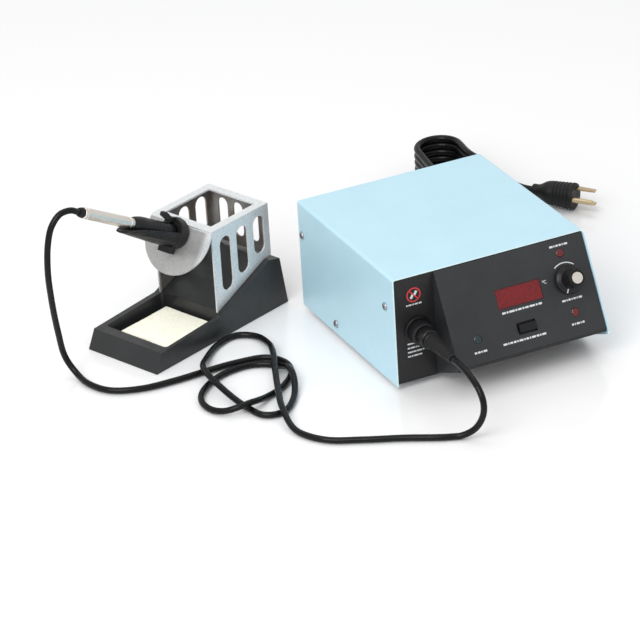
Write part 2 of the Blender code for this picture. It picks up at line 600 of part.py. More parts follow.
def stand_bracket(stand):
    """Bent sheet cage, open on top, with a round tongue that holds the iron's holder."""
    x_low, x_high, y_low, y_high = CAGE
    t = CAGE_SHEET
    outline = [(x_low, y_low), (x_low, y_high), (x_high, y_high), (x_high, y_low)]
    outline += [(x_high - t, y_low), (x_high - t, y_high - t), (x_low + t, y_high - t), (x_low + t, y_low)]
    cage = add_piece("stand_bracket", prism(outline, 10.0, CAGE_TOP - 0.4), ZINC, stand)
    front, rear = STAND_PROFILE[2], STAND_PROFILE[3]
    below = [(front[0] - 20.0, 0.0), (front[0] - 20.0, hump_height(front[0] - 20.0) + CAGE_LIFT)]
    below += [(rear[0] + 0.3, hump_height(rear[0] + 0.3) + CAGE_LIFT)]
    below += [(170.0, rear[1] + CAGE_LIFT), (170.0, 0.0)]
    cut(cage, prism(below, x_low - 5.0, x_high + 5.0, "X"))
    join(cage, box(x_low, x_high, y_low - 0.8, y_high, CAGE_TOP - t, CAGE_TOP))
    rim = CAGE_RIM + t
    cut(cage, box(x_low + rim, x_high - rim, y_low + rim, y_high - rim, CAGE_TOP - 6.0, CAGE_TOP + 6.0))
    for centre, low, high in SIDE_SLOTS:
        slot = stadium((centre, (low + high) / 2), SIDE_SLOT_HALF_WIDTH, (high - low) / 2, 6)
        cut(cage, prism(slot, x_low - 5.0, x_high + 5.0, "X"))
    for centre in REAR_SLOTS:
        slot = stadium((centre, 72.0), 5.5, 16.0, 6)
        cut(cage, prism(slot, y_high - 6.0, y_high + 6.0, "Y"))
    chord = math.sqrt(TONGUE_RADIUS ** 2 - TONGUE_CENTRE ** 2)
    start = math.degrees(math.atan2(TONGUE_CENTRE, chord))
    disc = arc((IRON_U, -TONGUE_CENTRE), TONGUE_RADIUS, start, -180.0 - start, 30)
    join(cage, prism(disc, -t, 0.0), at=(0.0, y_low, CAGE_TOP), turn=(TONGUE_TILT, 0.0, 0.0))
    radius = TONGUE_HOLE_RADIUS
    hole = turned(((0.0, -8.0), (radius, -8.0), (radius, 8.0), (0.0, 8.0)), 24)
    cut(cage, hole, at=iron_origin(), turn=(math.pi / 2 - IRON_RISE, 0.0, 0.0))


def iron_origin():
    """Where the iron's axis meets the tongue's outer face, in the stand's frame."""
    return (
        IRON_U,
        CAGE[2] - IRON_DROP * math.cos(TONGUE_TILT),
        CAGE_TOP - IRON_DROP * math.sin(TONGUE_TILT),
    )


def trough(stations, steps=10, thickness=1.6):
    """Half pipe under the iron: (distance, inner radius, half angle in degrees) at each station."""
    shape = bmesh.new()
    rows = []
    for distance, radius, half_angle in stations:
        inner, outer = [], []
        for index in range(steps + 1):
            angle = math.radians(-90 + half_angle * (2 * index / steps - 1))
            direction = (math.cos(angle), math.sin(angle))
            inner.append(shape.verts.new((radius * direction[0], radius * direction[1], distance)))
            reach = radius + thickness
            outer.append(shape.verts.new((reach * direction[0], reach * direction[1], distance)))
        rows.append(inner + outer[::-1])
    count = len(rows[0])
    shape.faces.new(rows[0])
    shape.faces.new(rows[-1][::-1])
    for first, second in zip(rows, rows[1:]):
        for index in range(count):
            after = (index + 1) % count
            shape.faces.new((first[index], second[index], second[after], first[after]))
    return shape


def iron_holder(axis):
    """Moulded holder clamped in the tongue: collar, guide tube, trough, ear and lower clip."""
    tube = [(4.9, -7.0), (6.2, -7.0), (6.2, 1.4), (12.4, 1.4), (13.3, 2.3), (13.3, 9.6), (12.4, 10.5)]
    tube += [(8.4, 10.5), (8.4, 6.4), (4.9, 6.4)]
    holder = add_piece("iron_holder", turned(tube, 28, ring=True), BLACK, axis)
    stations = ((4.0, 11.2, 100.0), (16.0, 11.0, 98.0), (33.0, 10.6, 92.0), (48.0, 9.6, 84.0))
    stations += ((61.0, 8.8, 66.0), (69.0, 8.2, 44.0), (73.0, 8.0, 24.0))
    join(holder, trough(stations))
    ear = ((4.5, 8.6), (4.5, 13.6), (16.0, 12.6), (24.0, 16.0), (27.5, 15.0), (27.5, 12.0), (18.0, 8.6))
    fin = prism([(height, distance) for distance, height in ear], -2.0, 2.0, "X")
    join(holder, fin)
    join(holder, box(-6.0, 6.0, -17.5, -11.6, 5.0, 13.0))
    ring = ((6.5, -7.0), (8.0, -7.0), (8.0, -4.6), (6.5, -4.6))
    add_piece("holder_ring", turned(ring, 24, ring=True), BLACK, axis)


def iron(axis):
    """The iron's own pieces along its axis, from the cord boot to the tip."""
    grip = [(0.0, GRIP_START), (6.6, GRIP_START), (7.2, 12.0), (7.4, 30.0), (7.5, 49.0), (6.9, 55.5)]
    add_piece("iron_grip", turned([*grip, (5.6, GRIP_END), (0.0, GRIP_END)], 20), BLACK, axis)
    start = GRIP_END + GAP
    handle = [(0.0, start), (HANDLE_RADIUS - 0.3, start), (HANDLE_RADIUS, start + 0.6)]
    handle += [(HANDLE_RADIUS, HANDLE_END - 0.8), (HANDLE_RADIUS - 0.6, HANDLE_END), (0.0, HANDLE_END)]
    add_piece("iron_handle", turned(handle, 20), SILVER, axis)
    start = HANDLE_END + GAP
    boot = ((0.0, start), (4.35, start), (4.2, start + 2.6), (3.3, BOOT_END), (0.0, BOOT_END))
    add_piece("iron_boot", turned(boot, 16), RUBBER, axis)
    nut = [(0.0, NUT_END), (4.0, NUT_END), (4.6, NUT_END + 0.6)]
    nut += [(4.6, GRIP_START - GAP), (0.0, GRIP_START - GAP)]
    add_piece("barrel_nut", turned(nut, 16), STEEL, axis)
    barrel = ((0.0, BARREL_END), (3.2, BARREL_END), (3.2, NUT_END - GAP), (0.0, NUT_END - GAP))
    add_piece("iron_barrel", turned(barrel, 16), STEEL, axis)
    tip = [(0.0, TIP_END), (0.6, TIP_END + 0.5), (2.4, TIP_END + 10.0)]
    tip += [(2.4, BARREL_END - GAP), (0.0, BARREL_END - GAP)]
    add_piece("iron_tip", turned(tip, 16), IRON_CORE, axis)


def mains_hank(station):
    """Outer shape of the folded mains lead, and the tie round its middle."""
    hank = add_empty("hank", station, at=(*HANK_FRONT, 0.0), turn=(0.0, 0.0, HANK_HEADING))
    outline = arc((HANK_RUN, 0.0), HANK_HALF_WIDTH, -90, 90, 10)
    outline += arc((0.0, 0.0), HANK_HALF_WIDTH, 90, 270, 10)
    add_piece("mains_hank", prism(outline, HANK_BOTTOM, HANK_TOP), BLACK, hank)
    start = HANK_RUN / 2 - TIE_HALF_LENGTH
    end = HANK_RUN / 2 + TIE_HALF_LENGTH
    reach = HANK_HALF_WIDTH + GAP
    low = HANK_BOTTOM - GAP
    high = HANK_TOP + GAP
    tie = add_piece("cord_tie", box(start, end, -reach - 1, reach + 1, low - 1, high + 1), GREY, hank)
    cut(tie, box(start - 5, end + 5, -reach, reach, low, high))


def mains_plug(station):
    """Moulded plug lying on its side, with two flat blades and a round ground pin."""
    plug = add_empty("plug", station, at=PLUG_BACK, turn=(0.0, 0.0, PLUG_HEADING))
    body = [(0.0, 0.0), (5.4, 0.0), (5.8, 0.8), (5.8, 6.0), (7.2, 8.4), (10.2, 14.0), (11.0, 20.0)]
    body += ribs(20.6, 3.4, 5, 11.3, -0.18, 0.6)
    body += [(12.2, 38.2), (12.2, PLUG_LENGTH - 0.8), (11.4, PLUG_LENGTH), (0.0, PLUG_LENGTH)]
    add_piece("mains_plug", turned(body, 24), RUBBER, plug, turn=(0.0, math.pi / 2, 0.0))
    face = PLUG_LENGTH + GAP
    for index, height in enumerate((-6.35, 6.35), start=1):
        blade = box(face, face + BLADE_LENGTH, 0.9, 7.2, height - 0.75, height + 0.75)
        tip = [vertex for vertex in blade.verts if vertex.co.x > face + 1.0]
        for vertex in tip:
            vertex.co.y += 1.0 if vertex.co.y < 4.0 else -1.0
        add_piece(f"plug_blade_{index}", blade, BRASS, plug)
    pin = ((0.0, 0.0), (2.4, 0.0), (2.4, GROUND_LENGTH - 2.0), (1.2, GROUND_LENGTH), (0.0, GROUND_LENGTH))
    at = (face, -7.4, 0.0)
    add_piece("plug_ground", turned(pin, 14), BRASS, plug, at, turn=(0.0, math.pi / 2, 0.0))


def main():
    """Build every piece of the station, the stand, the iron and the leads."""
    clear_scene()
    station = add_empty("station", at=STATION_AT)
    panel_turn = math.atan2(CASE_HEIGHT - PANEL_FOOT_Z, -PANEL_FOOT_Y)
    panel = add_empty("panel", station, at=(0.0, 0.0, CASE_HEIGHT), turn=(panel_turn, 0.0, 0.0))
    socket = add_empty("socket", station, at=SOCKET_AT, turn=(math.pi / 2, 0.0, 0.0))
    gland = add_empty("gland", station, at=GLAND_AT, turn=(-math.pi / 2, 0.0, 0.0))
    fuse = add_empty("fuse", station, at=FUSE_AT, turn=(-math.pi / 2, 0.0, 0.0))
    rear = add_empty("rear", station, at=POWER_SWITCH_AT, turn=(-math.pi / 2, 0.0, 0.0))
    stand = add_empty("stand", station, at=STAND_AT, turn=(0.0, 0.0, STAND_YAW))
    axis = add_empty("iron_axis", stand, at=iron_origin(), turn=(math.pi / 2 - IRON_RISE, 0.0, 0.0))
    station_cover(station)
    chassis_pan(station)
    rear_panel(station)
    front_bezel(station, panel)
    display(panel)
    lamps(panel)
    knob_set(panel)
    mode_switch(panel)
    power_switch(rear)
    transformer(station)
    feet(station)
    cover_screws(station)
    socket_and_plug(socket)
    rear_fittings(gland, fuse)
    stand_base(stand)
    sponge(stand)
    stand_bracket(stand)
    iron_holder(axis)
    iron(axis)
    add_cord("iron_cord", IRON_CORD_ROUTE, IRON_CORD_RADIUS, 78, station)
    add_cord("mains_cord", MAINS_CORD_ROUTE, MAINS_CORD_RADIUS, 12, station)
    add_cord("mains_tail", MAINS_TAIL_ROUTE, MAINS_CORD_RADIUS, 8, station)
    mains_hank(station)
    mains_plug(station)


main()
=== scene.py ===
"""Looks of the soldering station: materials, detailed pieces, leads, floor, light and camera.

Shapes are made in millimetres in the frame of the control unit, the sloping panel, the stand or
the iron, and turned into metres in the shared frame when a piece is made.
"""

import math

import bmesh
import bpy
import numpy as np
from mathutils import Matrix, Vector, noise


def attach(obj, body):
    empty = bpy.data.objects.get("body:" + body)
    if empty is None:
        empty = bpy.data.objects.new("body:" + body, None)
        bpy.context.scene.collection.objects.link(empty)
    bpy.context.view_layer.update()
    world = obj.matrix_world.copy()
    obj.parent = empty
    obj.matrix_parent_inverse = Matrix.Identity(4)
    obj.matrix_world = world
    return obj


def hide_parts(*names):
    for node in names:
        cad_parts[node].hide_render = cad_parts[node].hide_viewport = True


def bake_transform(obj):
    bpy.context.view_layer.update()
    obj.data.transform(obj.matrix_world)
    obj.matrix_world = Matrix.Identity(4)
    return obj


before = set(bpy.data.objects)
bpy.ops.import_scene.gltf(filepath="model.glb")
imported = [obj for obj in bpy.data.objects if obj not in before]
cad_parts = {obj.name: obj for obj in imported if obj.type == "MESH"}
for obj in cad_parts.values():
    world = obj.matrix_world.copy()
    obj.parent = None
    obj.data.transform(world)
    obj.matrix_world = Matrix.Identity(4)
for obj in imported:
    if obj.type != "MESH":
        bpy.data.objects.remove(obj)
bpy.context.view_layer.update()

MM = 0.001

# Where the control unit's frame lies in the shared frame, millimetres
STATION_AT = (13.05, -113.6, 0.0)

# Driving dimensions of the control unit, millimetres
CASE_WIDTH = 176.0
CASE_HEIGHT = 102.0
PANEL_FOOT = (-39.6, 27.9)
SCREW_PLACES = ((14.3, 72.0), (111.3, 13.5), (169.5, 72.3))
WINDOW = (85.0, 126.5, -46.5, -30.0)
KNOB_AT = (151.0, -37.3)
SOCKET_AT = (21.0, 0.0, 52.0)
REAR_OUTER = 174.8
GLAND_AT = (140.0, REAR_OUTER, 28.0)
POWER_SWITCH_AT = (78.0, REAR_OUTER, 29.0)

# Stand and iron, millimetres
STAND_AT = (-187.45, 205.82, 0.0)
STAND_YAW = math.radians(-67.3)
TRAY_FLOOR = 5.3
SPONGE = (13.0, 74.6, 26.0, 82.6)
SPONGE_TOP = 11.3
CAGE_FRONT = 83.1
CAGE_TOP = 96.5
TONGUE_TILT = math.radians(57.0)
IRON_RISE = math.radians(30.0)
IRON_U = 39.5
IRON_DROP = 10.0

# Leads, millimetres in the control unit's frame
IRON_CORD_RADIUS = 2.7
MAINS_CORD_RADIUS = 3.25
FLOOR_CLEARANCE = 0.1
IRON_CORD_ROUTE = (
    (-204.1, 156.05, 152.9), (-211.6, 152.9, 157.3), (-221.3, 151.5, 156.9), (-229.7, 150.7, 148.3),
    (-234.5, 150.0, 134.0), (-236.5, 151.2, 110.0), (-233.5, 157.5, 79.0), (-227.5, 166.5, 45.0),
    (-221.5, 171.0, 17.0), (-216.0, 162.0, 4.4), (-213.5, 143.0, 2.9), (-203.0, 123.0, 2.9),
    (-180.0, 112.0, 2.9), (-150.0, 110.0, 2.9), (-120.0, 111.5, 2.9), (-92.0, 111.5, 2.9),
    (-68.0, 106.5, 2.9), (-58.0, 90.0, 2.9), (-62.5, 70.0, 2.9), (-82.0, 50.5, 2.9),
    (-97.0, 43.5, 3.3), (-108.0, 36.2, 6.6), (-118.5, 31.6, 8.9), (-129.5, 32.2, 7.4),
    (-138.0, 38.0, 4.2), (-144.8, 47.5, 2.9), (-146.8, 61.0, 2.9), (-142.0, 75.0, 2.9),
    (-128.0, 89.8, 2.9), (-108.0, 100.0, 2.9), (-84.0, 101.5, 2.9),
    (-67.5, 90.0, 2.9), (-64.5, 66.0, 8.9), (-77.0, 34.0, 3.0), (-97.0, 13.5, 2.9),
    (-112.0, 17.0, 2.9), (-119.5, 41.0, 2.9), (-126.5, 74.0, 8.4), (-125.5, 106.0, 9.3),
    (-112.0, 130.0, 4.4), (-92.0, 150.0, 2.9), (-73.0, 156.5, 2.9), (-59.5, 147.0, 2.9),
    (-57.5, 126.0, 5.2), (-63.5, 103.0, 9.1), (-76.0, 72.0, 8.9), (-90.0, 36.0, 8.9),
    (-99.0, 9.0, 8.8), (-101.5, -20.0, 3.2), (-88.0, -46.0, 2.9), (-62.0, -62.0, 2.9),
    (-34.0, -76.0, 2.9), (-8.0, -91.0, 2.9), (6.0, -97.5, 2.9), (16.0, -104.5, 9.5),
    (21.0, -110.0, 22.0), (22.0, -110.5, 34.0), (21.5, -104.0, 44.0), (21.0, -90.0, 50.0),
    (21.0, -76.0, 52.0), (21.0, -62.2, 52.0),
)
MAINS_CORD_ROUTE = (
    (140.0, 200.3, 28.0), (140.1, 207.0, 27.5), (141.7, 214.2, 25.2), (146.3, 222.2, 20.2),
    (153.8, 228.4, 14.0), (161.8, 231.9, 9.2), (169.0, 235.0, 6.4), (175.6, 239.6, 5.1),
    (181.0, 246.0, 4.95),
)
MAINS_TAIL_ROUTE = (
    (234.0, 307.2, 34.9), (236.6, 297.2, 33.9), (239.3, 291.9, 31.9), (241.7, 287.8, 29.4),
    (248.6, 278.8, 21.8), (255.2, 270.2, 15.6), (261.2, 262.3, 13.1), (267.15, 254.42, 12.6),
)
HANK_FRONT = (203.0, 236.0)
HANK_RUN = 105.0
HANK_HEADING = math.radians(82.0)
HANK_LOOP_RADIUS = 19.5
HANK_TURNS = 4
HANK_BOTTOM = 1.7
HANK_PITCH = 6.6
HANK_ENTRY = 17.0
HANK_EXIT = 86.0
HANK_STEP = 8.0
HANK_HALF_WIDTH = 22.9
HANK_TOP = 38.2
PLUG_BACK = (267.4, 254.1, 12.6)
PLUG_HEADING = math.radians(-52.6)

# Camera, millimetres in the control unit's frame
CAMERA_AT = (-1138.54, -2375.87, 1420.81)
CAMERA_YAW = math.radians(-24.313)
CAMERA_PITCH = math.radians(27.148)
CAMERA_ROLL = math.radians(-3.629)
CAMERA_LENS = 206.0
SENSOR_WIDTH = 36.0

# Studio, metres and watts: name, place, aim, size and power of each soft box
SOFT_BOXES = (
    ("key", (-1.15, -0.95, 1.35), (0.0, 0.05, 0.0), 1.3, 25.0),
    ("top", (0.15, 0.5, 1.9), (0.0, 0.0, 0.0), 1.6, 7.0),
)
SKY_STRENGTH = 0.78
TABLE_HALF_SIZE = 6.0
TABLE_TOP = -0.0004
TABLE_COLOUR = (0.88, 0.88, 0.885)
TABLE_ROUGHNESS = 0.13

# Printed marks and the display's digits, millimetres
PRINT_THICKNESS = 0.06
DIGIT_PITCH = 11.6
DIGIT_HALF_HEIGHT = 5.5
DIGIT_HALF_WIDTH = 3.0
DIGIT_SLANT = math.radians(8.0)
DIGIT_DEPTH = -2.39
BAR_WIDTH = 1.2
BAR_THICKNESS = 0.12

# The shared frame's place of each working frame
STATION = Matrix.Translation(Vector(STATION_AT) * MM)


def place(matrix, at, x_turn=0.0, y_turn=0.0, z_turn=0.0):
    """A frame inside another: a move in millimetres and then a turn about one axis."""
    turn = Matrix.Rotation(z_turn, 4, "Z")
    turn = turn @ Matrix.Rotation(y_turn, 4, "Y") @ Matrix.Rotation(x_turn, 4, "X")
    return matrix @ Matrix.Translation(Vector(at) * MM) @ turn


PANEL_TURN = math.atan2(CASE_HEIGHT - PANEL_FOOT[1], -PANEL_FOOT[0])
PANEL = place(STATION, (0.0, 0.0, CASE_HEIGHT), x_turn=PANEL_TURN)
BAY = place(STATION, (0.0, 0.2, 0.0), x_turn=math.pi / 2)
SOCKET = place(STATION, SOCKET_AT, x_turn=math.pi / 2)
GLAND = place(STATION, GLAND_AT, x_turn=-math.pi / 2)
REAR = place(STATION, POWER_SWITCH_AT, x_turn=-math.pi / 2)
STAND = place(STATION, STAND_AT, z_turn=STAND_YAW)
IRON_ORIGIN = (
    IRON_U,
    CAGE_FRONT - IRON_DROP * math.cos(TONGUE_TILT),
    CAGE_TOP - IRON_DROP * math.sin(TONGUE_TILT),
)
AXIS = place(STAND, IRON_ORIGIN, x_turn=math.pi / 2 - IRON_RISE)
PLUG = place(STATION, PLUG_BACK, z_turn=PLUG_HEADING)


def shared(points, matrix=STATION):
    """Millimetre points of a working frame as metres in the shared frame."""
    return [matrix @ (Vector(point) * MM) for point in points]


# ---------------------------------------------------------------- camera, floor and light

def add_camera():
    """The main view's camera, fitted to the unit's and the stand's edges."""
    camera = bpy.data.objects.new("camera", bpy.data.cameras.new("camera"))
    bpy.context.scene.collection.objects.link(camera)
    camera.data.lens = CAMERA_LENS
    camera.data.sensor_width = SENSOR_WIDTH
    camera.data.clip_start = 0.05
    camera.data.clip_end = 20.0
    turn = Matrix.Rotation(CAMERA_YAW, 4, "Z")
    turn = turn @ Matrix.Rotation(math.pi / 2 - CAMERA_PITCH, 4, "X")
    turn = turn @ Matrix.Rotation(CAMERA_ROLL, 4, "Z")
    camera.matrix_world = Matrix.Translation(shared([CAMERA_AT])[0]) @ turn
    bpy.context.scene.camera = camera


def add_area_light(name, at, target, size, power):
    """A soft box that faces a target, both in metres."""
    data = bpy.data.lights.new(name, "AREA")
    data.shape = "SQUARE"
    data.size = size
    data.energy = power
    light = bpy.data.objects.new(name, data)
    bpy.context.scene.collection.objects.link(light)
    light.location = at
    light.rotation_euler = (Vector(target) - Vector(at)).to_track_quat("-Z", "Y").to_euler()


def add_studio():
    """White table, even sky and two soft boxes."""
    world = bpy.data.worlds.new("studio")
    bpy.context.scene.world = world
    world.use_nodes = True
    background = world.node_tree.nodes["Background"]
    background.inputs["Color"].default_value = (1.0, 1.0, 1.0, 1.0)
    background.inputs["Strength"].default_value = SKY_STRENGTH
    for soft_box in SOFT_BOXES:
        add_area_light(*soft_box)
    shape = bmesh.new()
    bmesh.ops.create_grid(shape, x_segments=2, y_segments=2, size=TABLE_HALF_SIZE)
    mesh = bpy.data.meshes.new("table")
    shape.to_mesh(mesh)
    shape.free()
    table = bpy.data.objects.new("table", mesh)
    bpy.context.scene.collection.objects.link(table)
    table.location = (0.0, 0.0, TABLE_TOP)
    surface = new_material("table", TABLE_COLOUR, TABLE_ROUGHNESS)
    table.data.materials.append(surface["material"])
    bpy.context.scene.view_settings.view_transform = "Standard"


# ---------------------------------------------------------------- materials

def new_material(name, colour, roughness, metallic=0.0, specular=0.5):
    """A Principled material and the parts of its node tree."""
    material = bpy.data.materials.new(name)
    material.use_nodes = True
    tree = material.node_tree
    shader = tree.nodes["Principled BSDF"]
    shader.inputs["Base Color"].default_value = (*colour, 1.0)
    shader.inputs["Roughness"].default_value = roughness
    shader.inputs["Metallic"].default_value = metallic
    shader.inputs["Specular IOR Level"].default_value = specular
    return {"material": material, "tree": tree, "shader": shader}


def node(made, kind, **settings):
    """A node with its settings; a setting whose name is an input sets that input."""
    item = made["tree"].nodes.new(kind)
    for name, value in settings.items():
        label = name.replace("_", " ")
        if label in item.inputs:
            item.inputs[label].default_value = value
        else:
            setattr(item, name, value)
    return item


def link(made, source, target):
    """Join two sockets."""
    made["tree"].links.new(source, target)


def feed(made, name, source):
    """Join a socket to one of the shader's inputs."""
    link(made, source, made["shader"].inputs[name])


def coordinates(made, stretch=(1.0, 1.0, 1.0)):
    """Object coordinates, stretched."""
    source = node(made, "ShaderNodeTexCoord")
    mapping = node(made, "ShaderNodeMapping")
    mapping.inputs["Scale"].default_value = stretch
    link(made, source.outputs["Object"], mapping.inputs["Vector"])
    return mapping.outputs["Vector"]


def noise_field(made, scale, detail=4.0, rough=0.55, vector=None):
    """A noise texture's value."""
    texture = node(made, "ShaderNodeTexNoise", Scale=scale, Detail=detail, Roughness=rough)
    link(made, coordinates(made) if vector is None else vector, texture.inputs["Vector"])
    return texture.outputs["Fac"]


def ramp(made, value, stops):
    """A colour ramp over (position, colour) stops."""
    item = node(made, "ShaderNodeValToRGB")
    while len(item.color_ramp.elements) < len(stops):
        item.color_ramp.elements.new(0.5)
    for element, (position, colour) in zip(item.color_ramp.elements, stops):
        element.position = position
        element.color = (*colour, 1.0)
    link(made, value, item.inputs["Fac"])
    return item.outputs["Color"]


def spread(made, value, low, high, start=0.3, end=0.7):
    """A value mapped to a range."""
    item = node(made, "ShaderNodeMapRange")
    item.inputs["From Min"].default_value = start
    item.inputs["From Max"].default_value = end
    item.inputs["To Min"].default_value = low
    item.inputs["To Max"].default_value = high
    link(made, value, item.inputs["Value"])
    return item.outputs["Result"]


def add_bump(made, value, strength, distance, normal=None):
    """A bump on the shader, on top of an earlier one."""
    item = node(made, "ShaderNodeBump", Strength=strength, Distance=distance)
    link(made, value, item.inputs["Height"])
    if normal is not None:
        link(made, normal, item.inputs["Normal"])
    feed(made, "Normal", item.outputs["Normal"])
    return item.outputs["Normal"]


def mixed(made, first, second, share):
    """Two tones of a colour by a value."""
    return ramp(made, share, ((0.3, first), (0.7, second)))


def tone(colour, factor):
    """A lighter or darker tone of a colour."""
    return tuple(min(1.0, channel * factor) for channel in colour)


def facing_tone(made, start, end, other):
    """Blend the base colour towards another where the surface faces the object's front."""
    source = node(made, "ShaderNodeTexCoord")
    facing = node(made, "ShaderNodeSeparateXYZ")
    link(made, source.outputs["Normal"], facing.inputs["Vector"])
    body = made["shader"].inputs["Base Color"].links[0].from_socket
    blend = node(made, "ShaderNodeMix", data_type="RGBA")
    link(made, spread(made, facing.outputs["Y"], 1.0, 0.0, start, end), blend.inputs["Factor"])
    link(made, body, blend.inputs[6])
    uneven = mixed(made, tone(other, 0.92), tone(other, 1.06), noise_field(made, 300.0))
    link(made, uneven, blend.inputs[7])
    feed(made, "Base Color", blend.outputs[2])


def plain_finish(name, colour, roughness, grain=900.0, depth=0.04, variation=0.06, specular=0.5):
    """Moulded or painted surface: soft tone changes, uneven gloss and a grain of a depth in mm."""
    made = new_material(name, colour, roughness, specular=specular)
    broad = noise_field(made, 22.0, 5.0)
    dark, light = tone(colour, 1 - variation), tone(colour, 1 + variation)
    feed(made, "Base Color", mixed(made, dark, light, broad))
    gloss, swing = noise_field(made, 140.0, 3.0), 0.08
    feed(made, "Roughness", spread(made, gloss, roughness - swing, roughness + swing))
    add_bump(made, noise_field(made, grain, 2.0), 0.35, depth * MM)
    return made


def stretched_lines(made, along, fine):
    """Noise drawn out along one direction, as brushing is."""
    stretch = tuple(fine if part == 0 else 12.0 for part in along)
    return noise_field(made, 1.0, 3.0, 0.6, coordinates(made, stretch))


def make_case_paint():
    """Pale blue baked enamel with orange peel and a soft gloss; a painted highlight makes the front
    edge paler.
    """
    colour = (0.44, 0.66, 0.76)
    made = plain_finish("case_paint", colour, 0.38, grain=520.0, depth=0.10, variation=0.025)
    made["shader"].inputs["Coat Weight"].default_value = 0.25
    made["shader"].inputs["Coat Roughness"].default_value = 0.25
    # Painted highlight: the faces turned to the front are given a paler tone
    facing_tone(made, -0.98, -0.9, (0.70, 0.90, 0.94))
    return made


def make_charcoal():
    """Black powder coat with a fine wrinkle; painted shade makes the upright bay darkest."""
    colour = (0.019, 0.020, 0.023)
    made = plain_finish("charcoal", colour, 0.52, grain=1500.0, depth=0.16, variation=0.22)
    # Painted shade: the faces turned straight to the front, the upright bay, are darkened
    facing_tone(made, -0.99, -0.95, (0.006, 0.006, 0.007))
    return made


def make_brushed(name, colour, roughness, along):
    """Metal with fine parallel scratches."""
    made = new_material(name, colour, roughness, 1.0)
    lines = stretched_lines(made, along, 2600.0)
    broad = noise_field(made, 35.0)
    shade = node(made, "ShaderNodeMix", data_type="RGBA")
    shade.inputs[0].default_value = 0.5
    link(made, mixed(made, tone(colour, 0.82), tone(colour, 1.12), lines), shade.inputs[6])
    link(made, mixed(made, tone(colour, 0.9), tone(colour, 1.06), broad), shade.inputs[7])
    feed(made, "Base Color", shade.outputs[2])
    feed(made, "Roughness", spread(made, lines, roughness - 0.07, roughness + 0.13))
    add_bump(made, lines, 0.3, 0.03 * MM)
    return made


def make_zinc():
    """Galvanised sheet: a fine faint spangle, dull patches and light scratches."""
    colour = (0.76, 0.78, 0.79)
    made = new_material("zinc", colour, 0.40, 0.6)
    spangle = node(made, "ShaderNodeTexVoronoi", Scale=800.0)
    link(made, coordinates(made), spangle.inputs["Vector"])
    grey = node(made, "ShaderNodeRGBToBW")
    link(made, spangle.outputs["Color"], grey.inputs["Color"])
    dull, bright = tone(colour, 0.94), tone(colour, 1.06)
    feed(made, "Base Color", mixed(made, dull, bright, grey.outputs["Val"]))
    feed(made, "Roughness", spread(made, noise_field(made, 60.0), 0.34, 0.5))
    add_bump(made, stretched_lines(made, (0, 0, 1), 1400.0), 0.2, 0.03 * MM)
    return made


def reach_along(made, matrix, axis):
    """How far a point lies along one axis of a working frame, in metres."""
    direction = matrix.col[axis].xyz
    dot = node(made, "ShaderNodeVectorMath", operation="DOT_PRODUCT")
    link(made, coordinates(made), dot.inputs[0])
    dot.inputs[1].default_value = direction
    origin = direction.dot(matrix.translation)
    shift = node(made, "ShaderNodeMapRange")
    shift.clamp = False
    shift.inputs["From Min"].default_value = origin
    shift.inputs["From Max"].default_value = origin + 1.0
    link(made, dot.outputs["Value"], shift.inputs["Value"])
    return shift.outputs["Result"]


def make_cage_zinc():
    """The cage's galvanised sheet, brown inside with painted shade and a painted dark reflection, and
    less on the tongue.
    """
    made = make_zinc()
    made["material"].name = "cage_zinc"
    share = spread(made, noise_field(made, 45.0, 6.0), 0.75, 1.0)
    # The stand's axis, the painted shade's share before and after the limit, and the limit's two ends
    limits = ((0, 1.0, 0.0, 66.0, 71.0), (1, 0.58, 1.0, 84.4, 85.4), (2, 1.0, 0.0, 94.2, 94.9))
    for axis, low, high, start, end in limits:
        limited = node(made, "ShaderNodeMath", operation="MULTIPLY")
        link(made, share, limited.inputs[0])
        place_along = reach_along(made, STAND, axis)
        link(made, spread(made, place_along, low, high, start * MM, end * MM), limited.inputs[1])
        share = limited.outputs[0]
    # Painted shade and a painted dark reflection: the cage's inner faces are turned a dark brown
    painted_shade = node(made, "ShaderNodeMix", data_type="RGBA")
    link(made, share, painted_shade.inputs["Factor"])
    link(made, made["shader"].inputs["Base Color"].links[0].from_socket, painted_shade.inputs[6])
    painted_shade_colour = mixed(made, (0.10, 0.085, 0.07), (0.19, 0.16, 0.14), noise_field(made, 80.0))
    link(made, painted_shade_colour, painted_shade.inputs[7])
    feed(made, "Base Color", painted_shade.outputs[2])
    return made


def make_sponge():
    """Cellulose sponge: pale yellow with darker pores of two sizes."""
    light = (1.0, 0.985, 0.84)
    dark = (0.90, 0.86, 0.63)
    made = new_material("sponge", light, 0.95, specular=0.2)
    pores = node(made, "ShaderNodeTexVoronoi", Scale=520.0)
    link(made, coordinates(made), pores.inputs["Vector"])
    broad = noise_field(made, 60.0, 6.0, 0.65)
    both = node(made, "ShaderNodeMath", operation="MULTIPLY")
    link(made, spread(made, pores.outputs["Distance"], 0.35, 1.0, 0.1, 0.5), both.inputs[0])
    link(made, spread(made, broad, 0.55, 1.1, 0.35, 0.65), both.inputs[1])
    feed(made, "Base Color", ramp(made, both.outputs[0], ((0.1, dark), (0.6, light))))
    first = add_bump(made, pores.outputs["Distance"], 0.8, 0.0005)
    add_bump(made, noise_field(made, 1400.0, 3.0), 0.5, 0.0002, first)
    made["shader"].inputs["Subsurface Weight"].default_value = 0.15
    made["shader"].inputs["Subsurface Radius"].default_value = (0.002, 0.0015, 0.0008)
    return made


def make_cord_jacket():
    """Glossy black vinyl with a slight drawing grain and dust."""
    colour = (0.004, 0.004, 0.0045)
    return plain_finish(
        "cord_jacket", colour, 0.27, grain=420.0, depth=0.06, variation=0.3, specular=0.2,
    )


def make_rubber():
    """Matt black rubber."""
    colour = (0.008, 0.008, 0.008)
    return plain_finish(
        "rubber", colour, 0.5, grain=1100.0, depth=0.08, variation=0.25, specular=0.25,
    )


